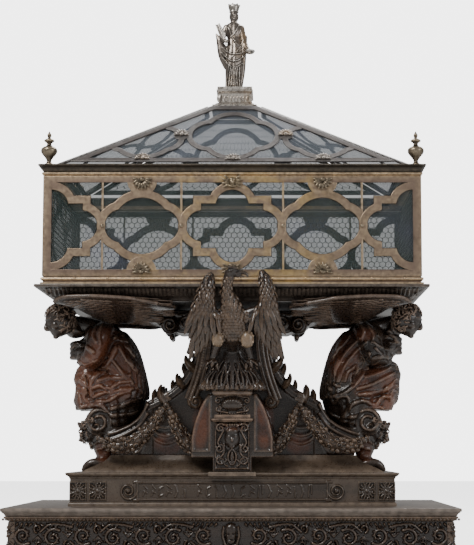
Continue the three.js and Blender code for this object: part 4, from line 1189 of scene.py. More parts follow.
# ------------------------------------------------------------------ fruit garlands
def garland(x0, z0_, x1, z1_, sag, y, seed):
    dice = random.Random(seed)
    path = []
    for i in range(25):
        t = i / 24
        r = 7 + 12 * math.sin(math.pi * t) ** 0.8
        path.append([x0 + (x1 - x0) * t, y, z0_ + (z1_ - z0_) * t - 4 * sag * t * (1 - t), r * 0.86, r * 0.86])
    core = limb("core", path, 10, steps=1)
    p = np.array(path)
    along = np.gradient(p[:, :3], axis=0)
    along /= np.linalg.norm(along, axis=1)[:, None]
    length = np.r_[0, np.cumsum(np.linalg.norm(np.diff(p[:, :3], axis=0), axis=1))]
    roses, berries, leaves = [], [], []
    s, row = 6.0, 0
    while s < length[-1] - 5:
        at = np.array([np.interp(s, length, p[:, k]) for k in range(4)])
        d = np.array([np.interp(s, length, along[:, k]) for k in range(3)])
        side = np.cross(d, (0, 1, 0))
        side /= np.linalg.norm(side)
        r = at[3]
        around = max(5, int(2 * math.pi * r / 14.5))
        for k in range(around):
            a = (k + 0.5 * (row % 2)) * 2 * math.pi / around
            out = Vector(side * math.cos(a) + np.array((0, -1, 0)) * math.sin(a))
            size = dice.uniform(6.2, 8.4)
            m = out.to_track_quat("Z", "Y").to_matrix().to_4x4() @ Matrix.Scale(size, 4)
            m.translation = Vector(at[:3]) + out * (r - 1.5)
            pick_one = dice.random()
            if pick_one < 0.62:
                roses.append(m)
            elif pick_one < 0.86:
                berries.append(m @ Matrix.Translation((0, 0, 0.4)) @ Matrix.Scale(0.85, 4))
            else:
                n = Vector(d)
                q = Matrix((out.cross(n) * 9, -out * 12, n * 17)).transposed().to_4x4()
                q.translation = Vector(at[:3]) + out * (r + 1) - n * 8
                leaves.append(q)
        s += 10.8
        row += 1
    parts = [core, strewn("roses", ROSE, roses), strewn("berries", BERRY, berries)]
    if leaves:
        parts.append(strewn("leaves", LEAF, leaves))
    # Bound ends and a trailing tassel.
    for end, q in ((0, path[0]), (-1, path[-1])):
        sign = -1 if end == 0 else 1
        d = Vector(along[end]) * sign
        at = Vector(q[:3])
        parts.append(limb("binding", [[*(at - d * 4), 8, 8], [*(at + d * 2), 9.5, 9.5], [*(at + d * 7), 6.5, 6.5],
                                      [*(at + d * 12), 8.5, 8.5], [*(at + d * 15), 4, 4]], 10, steps=2))
    return join("garland", parts)


outer_swag = garland(184, 384, 336, 312, 44, -142, 5)
inner_swag = garland(66, 296, 160, 384, 40, -142, 8)
for kind, swag in (("outer", outer_swag), ("inner", inner_swag)):
    for fb, my in (("", Matrix.Identity(4)), ("back_", MY)):
        for lr, mx in (("right", Matrix.Identity(4)), ("left", MX)):
            settle(twin(swag, mx @ my), f"fruit_garland_{kind}_{fb}{lr}", WALNUT,
                   f"garland_{kind}_{fb}{lr}", 60)
for t in (outer_swag, inner_swag):
    bpy.data.objects.remove(t)

# ------------------------------------------------------------------ the board under the casket
board_levels = [[430, 202, 661.4], [434, 206, 661.4], [441, 213, 663], [446, 218, 667], [450, 222, 671.5],
                [457, 229, 675], [466, 238, 680], [475, 247, 685.5], [483, 255, 690], [488.5, 260.5, 692.4],
                [493, 265, 692.8], [495, 267, 694], [495, 267, 698.6], [494, 266, 700.6]]
casket_floor = risen("board", 4, board_levels, square=True)
flutes = []
flute = limb("flute", [[0, 0, 0, 3.1, 2.0], [0, 0, 0.5, 3.1, 2.6], [0, 0, 1, 3.1, 2.0]], 6, (1, 0, 0), steps=1)
for half, reach, turns in ((466, 229, (Matrix.Identity(4), HALF_TURN)), (238, 457, (QUARTER, QUARTER.inverted()))):
    lean = Vector((0, -26, 15.0))
    for turn in turns:
        n = int(half * 2 / 10.5)
        for k in range(n + 1):
            x = -half + k * 2 * half / n
            m = Matrix(((1, 0, 0, x), (0, 1, lean.y, -reach), (0, 0, lean.z, 675), (0, 0, 0, 1)))
            flutes.append(turn @ m)
settle(join("board", [casket_floor, strewn("flutes", flute, flutes)]), "fluted_board", WALNUT_DARK, "casket_board",
       35)
bpy.data.objects.remove(flute)

# ------------------------------------------------------------------ scrolled stand
CREST = [[104, 654], [101, 612], [100, 575], [106, 545], [114, 518], [128, 492], [146, 466], [172, 444], [204, 428],
         [228, 416]]
SEAT = [[236, 394], [252, 370], [274, 354], [302, 346], [330, 350], [346, 364], [352, 378]]


def stand_middle():
    edge = [[x - 3, z] for x, z in CREST]
    outline = [[-230, 268], [230, 268]] + [[236, 380]] + edge[::-1] + [[-x, z] for x, z in edge] + [[-236, 380]]
    board = slab("board", outline, -84, 84, 5)
    cheek = slab("cheek", [[-104, 268], [104, 268], [104, 318], [96, 356], [80, 398], [62, 430], [-62, 430], [-80,
        398],
                           [-96, 356], [-104, 318]], -196, 108, 3)
    o = carved("stand_middle", [board, cheek], 3.2, 3)
    lines = []
    for k in range(2):
        lines.append((spline([[96 - k * 11, 640], [90 - k * 11, 590], [92 - k * 10, 545], [108 - k * 9, 500],
                              [138 - k * 8, 455 - k * 4], [176 - k * 4, 424 - k * 6], [226 - k * 2, 398 - k * 7]], 4),
                      4.0, 4.5, 4, 5))
    for k in range(3):
        lines.append((spline([[232 - k * 3, 380 - k * 16], [205, 352 - k * 18], [176, 344 - k * 20], [148,
            352 - k * 20]],
                             4), 5, 3, 5, 3))
    lines += [([(57, 284), (57, 424)], 3.5, 3.5, 5, 5),
              (spline([[99, 284], [99, 318], [91, 356], [76, 396], [58, 424]], 5), 4, 4, 5, 5),
              ([(60, 284), (98, 284)], 3.5, 3.5, 4, 4)]
    lines = mirrored_strokes(lines)
    carve(o, lines)
    carve(o, lines, (0, 1, 0))
    apply(o, "SMOOTH", factor=0.4, iterations=1)
    dye(o, [(82, 355, 24, 62), (-82, 355, 24, 62), (172, 302, 34, 30), (-172, 302, 34, 30), (250, 300, 30, 18),
            (-250, 300, 30, 18)])
    return o


def crest_leaves():
    """Leaf tips that turn over along the outer edge of the big scrolls, in three ranks."""
    run = spline(CREST, 6)
    tips = []
    tip = limb("tip", [[-14, 0, -2, 14, 10], [-3, 0, 0, 18, 11], [8, 0, 2, 16, 8], [15, 0, 6, 11, 6], [20, 0, 11, 5,
        3.5]],
               8, (0, 1, 0), steps=2)
    for rank, y in ((0, -88), (1, -44), (0, 0), (1, 44), (0, 88)):
        s = 16 + rank * 4
        while s < len(run) - 2:
            d = run[min(s + 1, len(run) - 1)] - run[s - 1]
            d = d / np.linalg.norm(d)
            out = Vector((-d[1], 0, d[0]))
            out = (out + Vector((0.25, 0, 0.35))).normalized()
            up = Vector((0, 1, 0)).cross(out)
            up = up if up.z > 0 else -up
            k = 0.85 + 0.35 * math.sin(s * 0.8) ** 2
            m = Matrix((out * k, up.cross(out) * 1.2, up * k)).transposed().to_4x4()
            m.translation = Vector((run[s][0] - 4, y, run[s][1] - 2))
            tips += [m, MX @ m]
            s += 10
    o = strewn("crest", tip, tips)
    bpy.data.objects.remove(tip)
    return o


def scroll_bands():
    """The beaded bands of the two big scrolls, front and back, ending in small volutes."""
    path = [[84, 652], [78, 620], [74, 585], [75, 548], [81, 512], [91, 474], [102, 442], [112, 416]]
    run = spline(path, 5)
    parts, beads = [], []
    for sy in (-1, 1):
        y = sy * 108
        parts.append(limb("band", [[x, y, z, 12, 9] for x, z in run], 12, (0, 1, 0), steps=1))
        for off in (-10.5, 10.5):
            rim = []
            for i, (x, z) in enumerate(run):
                d = run[min(i + 1, len(run) - 1)] - run[max(i - 1, 0)]
                n = np.array([-d[1], d[0]]) / np.linalg.norm(d)
                rim.append([x + n[0] * off, y + sy * 5, z + n[1] * off, 3.4, 5])
            parts.append(limb("rim", rim, 8, (0, 1, 0), steps=1))
        for i in range(0, len(run), 1):
            beads.append(Matrix.Translation((run[i][0], y + sy * 9, run[i][1])) @ Matrix.Diagonal((4.2, 3.4, 4.2, 1)))
        spiral = curl_points(97, 412, 19, -1, 0.2, 1.6, 0.86, 30)
        parts.append(limb("volute", [[u, y + sy * (2 + 8 * i / 30), v, 8, 4.6 - 0.06 * i]
                                     for i, (u, v) in enumerate(spiral)], 8, (0, 1, 0), steps=1))
        parts.append(ball(97, y + sy * 4, 412, 18, 8, 18, 20, 10))
        parts.append(ball(97, y + sy * 13, 412, 5, 5, 5, 12, 8))
        # The ribbon knot where the garlands hang.
        for x, z, turn, k in ((172, 402, 0.3, 1.0), (160, 418, 1.5, 0.8), (186, 418, -0.9, 0.8), (176, 386, 2.9, 0.8),
                              (158, 392, 2.2, 0.7), (192, 396, -2.2, 0.7)):
            leaf = twin(LEAF, Matrix.Translation((x, sy * 128, z)) @ Matrix.Rotation(turn, 4, "Y")
                        @ Matrix.Diagonal((48 * k, 30 * k * -sy, 34 * k, 1)))
            if sy > 0:
                leaf.data.flip_normals()
            parts.append(leaf)
        parts.append(ball(172, sy * 128, 402, 9, 8, 9, 14, 8))
    parts.append(strewn("band_beads", BERRY, beads))
    o = join("bands", parts)
    return join("bands", [o, twin(o, MX)])


def bracket():
    """A leafy console under the casket board, with a small drop."""
    outline = [[104, 657], [104, 602], [122, 596], [142, 595], [158, 601], [176, 606], [196, 613], [206, 623],
               [228, 626], [250, 627], [250, 633], [226, 637], [202, 643], [188, 657]]
    parts = [slab("console", outline, -58, 58, 4)]
    for sy in (-1, 1):
        parts.append(ball(170, sy * 58, 616, 24, 14, 24, 18, 10))
    o = carved("bracket", parts, 3.0, 3)
    lines = [(curl_points(170, 616, 21, 1, 0, 1.6, 0.85), 4, 3, 6, 6), (curl_points(128, 622, 17, -1, 2, 1.4), 4, 3,
        5, 5),
             (spline([[108, 650], [140, 644], [180, 648]], 5), 4, 3, 4, 4),
             (spline([[196, 622], [222, 631], [248, 630]], 5), 3.5, 2, 4, 3)]
    carve(o, lines)
    carve(o, lines, (0, 1, 0))
    drop = [ball(167, 0, 590, 8, 30, 11, 14, 10)]
    drop += [ball(167, y, 587, 7, 7, 8.5, 10, 8) for y in (-26, 0, 26)]
    o = join("bracket", [o] + drop)
    return join("bracket", [o, twin(o, MX)])


def lion_arm():
    """The right arm of the stand: a sweeping leaf that ends in a curled lion's mask over a clawed foot."""
    outline = ([[206, 268], [312, 268], [328, 300], [346, 340], [354, 372]] + SEAT[::-1] + [[229, 414], [206, 424]])
    arm = slab("arm", outline, -88, 88, 8)
    parts = [arm, slab("rear", disc(352, 361, 36, 36), -90, 90, 6)]
    parts += [ball(374, 0, 330, 33, 52, 29, 24, 16),
              limb("muzzle", [[376, 0, 336, 42, 25], [392, 0, 328, 38, 21], [403, 0, 320, 28, 14], [409, 0, 314, 16,
                  7]], 16),
              limb("brow", [[382, -34, 350, 8, 7], [396, -18, 345, 9, 8], [400, 0, 341, 9, 8], [396, 18, 345, 9, 8],
                            [382, 34, 350, 8, 7]], 10, (0, 0, 1))]
    for sy in (-1, 1):
        parts += [limb("ear", [[372, sy * 36, 352, 13, 12], [394, sy * 42, 350, 12, 11], [404, sy * 42, 350, 9, 8],
                               [411, sy * 40, 358, 5, 5]], 10),
                  ball(396, sy * 20, 322, 13, 13, 11, 16, 10)]
        parts += [limb("shank", [[344, sy * 26, 336, 34, 34], [350, sy * 26, 300, 26, 26], [344, sy * 24, 268, 21,
            20],
                                 [346, sy * 24, 240, 26, 27], [346, sy * 24, 231, 28, 28]], 14)]
    for k in range(5):
        y = -50 + k * 25
        parts.append(limb("toe", [[332, y * 0.9, 247, 15, 13], [352, y, 252, 15, 14], [374, y * 1.05, 253, 14, 12],
                                  [388, y * 1.06, 244, 12, 10], [396, y * 1.06, 235, 8, 5]], 12))
    o = carved("arm", parts, 3.0, 3)
    lines = [(curl_points(352, 361, 34, -1, 2.2, 1.2, 0.62, 34), 6, 4, 8, 9),
             (curl_points(358, 349, 15, -1, 1.2, 1.1, 0.8, 22), 3.5, 2.5, 7, 8)]
    for k in range(4):
        lines.append((spline([[226, 404 - k * 24], [242, 374 - k * 20], [268, 352 - k * 17], [300, 336 - k * 16],
                              [326, 328 - k * 17]], 4), 6.5, 4, 7, 5))
    for k in range(5):
        x = 236 + k * 19
        lines.append((spline([[x, 300 + 6 * math.sin(k)], [x + 10, 284], [x + 26, 278]], 4), 4, 2.5, 5, 3))
    lines += [(spline([[330, 318], [352, 312], [372, 300]], 4), 3.5, 2.5, 5, 4),
              (spline([[324, 302], [344, 292], [362, 288]], 4), 3.5, 2.5, 5, 4),
              (spline([[380, 352], [392, 342], [392, 328], [382, 318]], 4), 4, 3, 5, 4)]
    carve(o, lines)
    carve(o, lines, (0, 1, 0))
    apply(o, "SMOOTH", factor=0.4, iterations=1)
    mane = []
    dice = random.Random(11)
    for side in (-1, 1):
        spots = []
        for k in range(30):
            a = dice.uniform(-1.9, 1.7)
            r = dice.uniform(24, 40)
            spots.append([374 + r * 0.86 * math.cos(a), 328 + r * math.sin(a), dice.uniform(0, 360), dice.uniform(8,
                12)])
        mane.append(standing_on(o, HOOK, spots, side))
    dye(o, [(344, 284, 22, 30), (300, 290, 26, 12)], 0.9)
    tree = BVHTree.FromObject(o, bpy.context.evaluated_depsgraph_get())
    places = []
    for k in range(46):
        y, z = dice.uniform(-50, 50), dice.uniform(300, 366)
        if abs(y) < 24 and 306 < z < 344 or abs(y) > 30 and z > 340:
            continue
        hit, n, _, _ = tree.ray_cast(Vector((600, y, z)), Vector((-1, 0, 0)))
        if hit is None:
            continue
        m = n.to_track_quat("Z", "Y").to_matrix().to_4x4() @ Matrix.Rotation(dice.uniform(0, 6.3), 4, "Z")
        m = m @ Matrix.Scale(dice.uniform(9, 13), 4)
        m.translation = hit
        places.append(m)
    eyes = [ball(404, sy * 15, 334, 3.4, 4.5, 3.2, 12, 8) for sy in (-1, 1)]
    return join("arm", [o, strewn("mane", HOOK, places)] + mane + eyes)


middle = stand_middle()
arm = lion_arm()
bands = join("bands", [scroll_bands(), crest_leaves(), bracket()])
settle(middle, "stand_middle", WALNUT_DYED, "scrolled_stand", None)
arm_left = twin(arm, MX)
settle(arm, "lion_arm_right", WALNUT_DYED, None, 60)
settle(arm_left, "lion_arm_left", WALNUT_DYED, None, 60)
settle(bands, "scroll_bands_and_leaves", WALNUT, None, 60)


# ------------------------------------------------------------------ pier
def pier():
    o = slab("pier", [[-49, 232.4], [49, 232.4], [49, 356], [45, 376], [45, 426], [49, 436], [-49, 436], [-45, 426],
                      [-45, 376], [-49, 356]], -196, -143, 2)
    shelf = risen("shelf", 4, [[48, 39, 357], [50, 43, 360], [52, 45.5, 362], [52, 45.5, 365], [49, 42, 366.5], [46,
        38, 368],
                                      [45, 37, 376]],
                  square=True)
    turned_about(shelf, Matrix.Translation((0, -162, 0)))
    crown = risen("crown", 4, [[45, 37, 424], [50, 42, 429], [51, 43, 433], [49, 41, 436]], square=True)
    turned_about(crown, Matrix.Translation((0, -162, 0)))
    mask = [ball(0, -196, 316, 19, 13, 25, 20, 14), ball(0, -207, 312, 4.2, 5, 7, 12, 8), ball(0, -200, 334, 16, 10,
        9, 16, 10),
            ball(-7.5, -206, 320, 4.4, 3, 2.8, 10, 8), ball(7.5, -206, 320, 4.4, 3, 2.8, 10, 8),
            ball(0, -205, 302, 6.5, 3.5, 2.4, 12, 8), ball(0, -203, 295, 7, 5, 5, 12, 8),
            ball(0, -197, 403, 29, 10, 17, 24, 14)]
    body = carved("pier", [o] + mask, 1.9, 2)
    lines = [([(-42, 240), (-42, 352)], 2.6, 2.6, 3.4, 3.4), ([(-42, 240), (42, 240)], 2.6, 2.6, 3.4, 3.4),
             (curl_points(30, 342, 12, -1, 2.4, 1.6, 0.85), 3.4, 2.2, 7, 6),
             (curl_points(32, 290, 12, 1, 2.0, 1.6, 0.85), 3.4, 2.2, 7, 6),
             (curl_points(28, 260, 11, -1, 0.6, 1.6, 0.85), 3.4, 2.2, 7, 6),
             (spline([[22, 336], [30, 320], [36, 306], [30, 296]], 4), 3.4, 3, 6, 6),
             (spline([[20, 300], [20, 284], [26, 272], [36, 268]], 4), 3.4, 2.6, 6, 5),
             (spline([[0, 290], [8, 280], [10, 266], [4, 250]], 4), 3.6, 2.4, 7, 5),
             (spline([[0, 282], [3, 268], [0, 248]], 4), 3, 2, 6, 4),
             (spline([[14, 262], [20, 252], [12, 246]], 4), 3, 2, 5, 4),
             (spline([[12, 346], [20, 352], [30, 350]], 4), 2.8, 2, 5, 4),
             (curl_points(36, 412, 9, -1, 2.0, 1.4, 0.85), 2.8, 2.0, 6, 5),
             (curl_points(36, 390, 8, 1, 2.0, 1.4, 0.85), 2.8, 2.0, 6, 5),
             ([(30, 420), (12, 424)], 3, 3, 5, 5), ([(30, 384), (12, 381)], 3, 3, 5, 5)]
    for k in range(6):
        a = math.radians(8 + k * 15)
        lines.append(([(4 * math.sin(a), 392), (26 * math.sin(a), 392 + 22 * math.cos(a))], 1.4, 3.4, 2.2, 3.4))
    carve(body, mirrored_strokes(lines))
    beads = [standing(k * 6.2, 350.5, -197, 0, 2.9) for k in range(-6, 7)]
    beads += [standing(k * 6.0, 379, -194, 0, 2.6) for k in range(-6, 7)]
    dye(body, [(0, 346, 30, 10)], 0.6)
    return join("pier", [body, shelf, crown, strewn("beads", BERRY, beads)])


settle(pier(), "carved_pier", WALNUT_DYED, "pier", 50)

# ------------------------------------------------------------------ eagle
EAGLE_WINGS = {
    -1: [[52, -288, 720, 9, 8], [56, -292, 704, 17, 11], [65, -288, 660, 25, 12], [70, -276, 620, 35, 11],
         [77, -260, 582, 24, 9], [94, -246, 550, 15, 7], [110, -238, 530, 5, 5]],
    1: [[76, -288, 726, 9, 8], [82, -292, 706, 18, 11], [91, -288, 660, 22, 12], [87, -276, 620, 34, 11],
        [96, -262, 582, 24, 9], [111, -246, 546, 16, 7], [128, -238, 516, 5, 5]]}


def eagle():
    trunk = limb("trunk", [[0, -214, 548, 22, 16], [2, -240, 574, 33, 25], [4, -260, 612, 36, 30], [-2, -276, 646,
        27, 23],
                           [-10, -290, 676, 17, 16], [-9, -300, 700, 13.5, 13], [-3, -304, 722, 14, 13]], 24, (1, 0,
                               0), steps=5)
    parts = [trunk, ball(0, -306, 724, 16, 14, 13, 20, 12), ball(12, -308, 722, 11, 10, 8, 16, 10),
             limb("beak", [[16, -309, 724, 8, 7], [28, -311, 724, 7, 5], [38, -312, 719, 5, 3.6], [42, -312, 711,
                 2.2, 2]], 12),
             limb("jaw", [[14, -309, 715, 5, 4], [26, -311, 713, 4, 3], [33, -311, 711, 2, 2]], 10),
             limb("brow", [[-8, -319, 735, 4, 3], [4, -321, 735, 5, 3], [14, -319, 731, 4, 3]], 10, (0, 1, 0)),
             ball(6, -318.5, 727, 4, 3, 3, 10, 8)]
    for sx in (-1, 1):
        path = EAGLE_WINGS[sx]
        side = [limb("wing", path, 20, (1, 0, 0), steps=6),
                limb("shoulder", [[20, -262, 612, 18, 14], [38, -276, 622, 15, 12], [path[3][0], -280, 636, 16,
                    11]], 14,
                     (0, 0, 1), steps=4),
                ball(sx * 2 + 36, -252, 562, 15 + sx, 16, 20 + 2 * sx, 18, 12),
                limb("shank", [[38, -248, 545, 10, 10], [46, -240, 522, 7, 7], [52, -232, 506, 7, 7]], 12, steps=4)]
        for dx, dy, dz in ((-13, -12, -12), (-2, -17, -14), (12, -14, -12), (20, -4, -6)):
            side.append(limb("claw", [[50, -230, 508, 7, 6], [50 + dx * 0.6, -230 + dy * 0.8, 508 + dz * 0.1, 6.6, 6],
                                      [50 + dx, -230 + dy, 504 + dz * 0.6, 5.2, 5],
                                      [50 + dx * 1.15, -230 + dy * 1.0, 498 + dz, 1.8, 1.8]], 10, steps=3))
        parts += [turned_about(p, MX) for p in side] if sx < 0 else side
    fan = limb("fan", [[0, -200, 556, 26, 16], [0, -192, 520, 38, 26], [0, -190, 480, 66, 32], [0, -188, 444, 88,
        38]],
               28, (1, 0, 0), steps=5)
    o = carved("eagle", parts + [fan], 2.2, 3)
    cut(o, (0, -118.6, 0), (0, 1, 0))
    cut(o, (0, 0, 436.6), (0, 0, -1))
    lines = []
    for k in range(0, 12):
        w = 3.5 * math.sin(k * 2.1)
        lines.append((spline([[k * 1.2 + 1, 560], [k * 2.6 + 2 + w, 528], [k * 5.4 + 2 - w, 498], [k * 8.0 + 2 + w,
            470],
                              [k * 9.2 + 2 - w, 440]], 5), 2.4, 4.2, 4, 8))
    carve(o, mirrored_strokes(lines))
    feathers = []
    rows = []
    for j, z in enumerate(np.arange(712, 560, -7.6)):
        half = np.interp(z, [556, 612, 646, 676, 712], [24, 35, 26, 17, 13])
        mid = np.interp(z, [556, 612, 646, 676, 712], [1, 4, -2, -10, -6])
        n = max(3, int(half * 2 / 9.0))
        for i in range(n + 1):
            x = -half + (i + 0.5 * (j % 2)) * 2 * half / n
            size = np.interp(z, [560, 640, 712], [13, 12, 9])
            rows.append([mid + x, z, x * 0.5, size, size * 0.98, size])
    feathers.append(lay(o, SCALE, rows, tilt=15))
    for sx in (1, -1):
        path = np.array(EAGLE_WINGS[sx], float)[::-1]
        near, far = [], []
        for j, z in enumerate(np.arange(path[-1][2] + 4, 628, -8.5)):
            c, w = np.interp(z, path[:, 2], path[:, 0]), np.interp(z, path[:, 2], path[:, 3])
            n = max(2, int(w * 2 / 9.0))
            for i in range(n + 1):
                x = c - w + (i + 0.5 * (j % 2)) * 2 * w / n
                size = np.interp(z, [618, 724], [24, 14])
                near.append([sx * x, z, sx * ((x - c) * 0.4 + 5), size, size * 1.5, size * 1.1])
        for j, z in enumerate((640, 618, 598, 578, 560, 546)):
            c, w = np.interp(z, path[:, 2], path[:, 0]), np.interp(z, path[:, 2], path[:, 3])
            n = max(2, int(w * 2 / 10))
            for i in range(n + 1):
                x = c - w + i * 2 * w / n
                length = 52 - j * 4 + (7 if i % 2 else 0)
                far.append([sx * x, z, sx * (14 + (x - c) * 0.75), length, 36, 30])
        feathers += [lay(o, LEAF, far, tilt=10), lay(o, LEAF, near, tilt=15)]
        feathers.append(lay(o, SCALE, [[sx * (27 + i * 7), 578 - j * 8, sx * (i * 8 - 8), 11, 10, 10]
                                       for i in range(4) for j in range(4)], tilt=14))
    for k in range(-6, 7):
        x = k * 12.5
        feathers.append(limb("ruffle", [[x * 0.86, -216 + abs(k) * 1.5, 462, 6, 4], [x * 0.95, -224 + abs(k) * 1.5,
            450, 7.5, 4.5],
                                        [x, -229 + abs(k) * 1.5, 441, 6, 4.5], [x * 1.02, -232 + abs(k) * 1.5, 446,
                                            3, 3]],
                             8, (1, 0, 0), steps=3))
    return join("eagle", [o] + feathers)


settle(eagle(), "feathered_eagle", WALNUT, "eagle", 60)
thighs = []
for sx, r, x in ((-1, 15, -35), (1, 17, 39)):
    thighs.append(ball(x, -262, 562, r, 13, r * 1.3, 22, 16))
    for j in range(5):
        for i in range(4):
            thighs.append(ball(x + (i - 1.5 + 0.5 * (j % 2)) * r * 0.42, -273 + abs(i - 1.5) * 2.4 + abs(j - 2) * 1.4,
                               562 + (j - 2) * r * 0.42, 2.6, 2.6, 3.4, 8, 6))
settle(join("thighs", thighs), "eagle_thighs", WALNUT_RUBBED, None, 60)

# ------------------------------------------------------------------ kneeling angels
ANGEL_WING = [[446, -236, 661, -222, 657, 4], [430, -250, 668, -214, 656, 8], [402, -258, 671, -188, 651, 10],
              [374, -262, 671, -128, 639, 12], [342, -264, 671, -74, 627, 13], [264, -258, 667, -64, 622, 11],
              [238, -250, 663, -118, 638, 8], [190, -236, 656, -160, 643, 6], [144, -216, 650, -196, 645, 4]]


def angel_wing():
    s = spline(ANGEL_WING, 5)
    ang = np.arange(24) * 2 * math.pi / 24
    rows = []
    for x, y0, z0_, y1, z1_, thick in s:
        out = np.array([0, (y0 - y1) / 2, (z0_ - z1_) / 2])
        up = np.array([0, z0_ - z1_, y1 - y0])
        up = up / np.linalg.norm(up)
        mid = np.array([x, (y0 + y1) / 2, (z0_ + z1_) / 2])
        rows.append([mid + out * math.cos(a) + up * thick * math.sin(a) for a in ang])
    return lattice("wing", rows, wrap=True, caps=True)


def wing_feathers():
    """Rows of quills along the underside and the top, small at the shoulder and long towards the tip."""
    places = []
    s = np.array(ANGEL_WING, float)[::-1]
    for face in (-1, 1):
        for row, t in enumerate(np.linspace(0.04, 0.9, 15)):
            x = 432.0 - (row % 2) * 9
            while x > 160:
                q = [np.interp(x, s[:, 0], s[:, k]) for k in range(6)]
                lead, trail = np.array([x, q[1], q[2]]), np.array([x, q[3], q[4]])
                width = np.linalg.norm(lead - trail)
                far = x < 320
                length, wide = (70, 44) if far else (27, 42)
                if x - length > 141 and (width > 100 or row % 3 == 0):
                    across = (lead - trail) / width
                    normal = np.array([0, -across[2], across[1]])
                    normal = normal * (1 if normal[2] * face > 0 else -1)
                    n = Vector(normal)
                    at = trail + (lead - trail) * t + normal * q[5] * math.sin(math.acos(2 * t - 1)) * 0.8
                    along = Vector((-1, 0, 0)) + Vector(across) * (0.25 * t - 0.28)
                    along = (along - n * along.dot(n)).normalized()
                    lift = 0.035 if far else 0.13
                    axis_z = (along * math.cos(lift) + n * math.sin(lift)).normalized()
                    axis_y = -(n * math.cos(lift) - along * math.sin(lift)).normalized()
                    axis_x = axis_y.cross(axis_z)
                    m = Matrix((axis_x * wide, axis_y * 28, axis_z * length)).transposed().to_4x4()
                    m.translation = Vector(at)
                    places.append(m)
                x -= 31 if far else 15
    edge = limb("leading_edge", [[q[0], q[1] - 1, q[2] - 1, 6.5, 5] for q in ANGEL_WING[:-1]], 12, (0, 1, 0), steps=5)
    return join("quills", [strewn("quills", LEAF, places), edge])


def face():
    """A calm, plain face looking along +X, about 70 mm high, modelled about the middle of the head."""
    parts = [ball(0, 0, 2, 33, 30, 36, 28, 18), ball(12, 0, -14, 20, 20, 20, 20, 14),
             limb("nose", [[27, 0, 10, 4, 4], [33, 0, 2, 4.4, 5], [37, 0, -6, 6, 5.4], [31, 0, -10, 5, 3]], 12,
                  steps=3),
             ball(24, 0, -29, 7, 8, 6, 14, 10), ball(28.5, 0, -17, 3.2, 8, 2.6, 14, 8), ball(27.8, 0, -21, 3.4, 6.4,
                 2.8, 14, 8)]
    for sy in (-1, 1):
        parts += [ball(25, sy * 11, 4, 5, 6, 4, 14, 8), ball(18, sy * 17, -8, 11, 9, 10, 14, 8),
                  limb("brow", [[28, sy * 4, 11, 3, 3], [28.5, sy * 11, 13.5, 3, 3], [23, sy * 19, 10, 3, 3]], 8,
                       (0, 0, 1), steps=3)]
    return carved("face", parts, 1.7, 3)


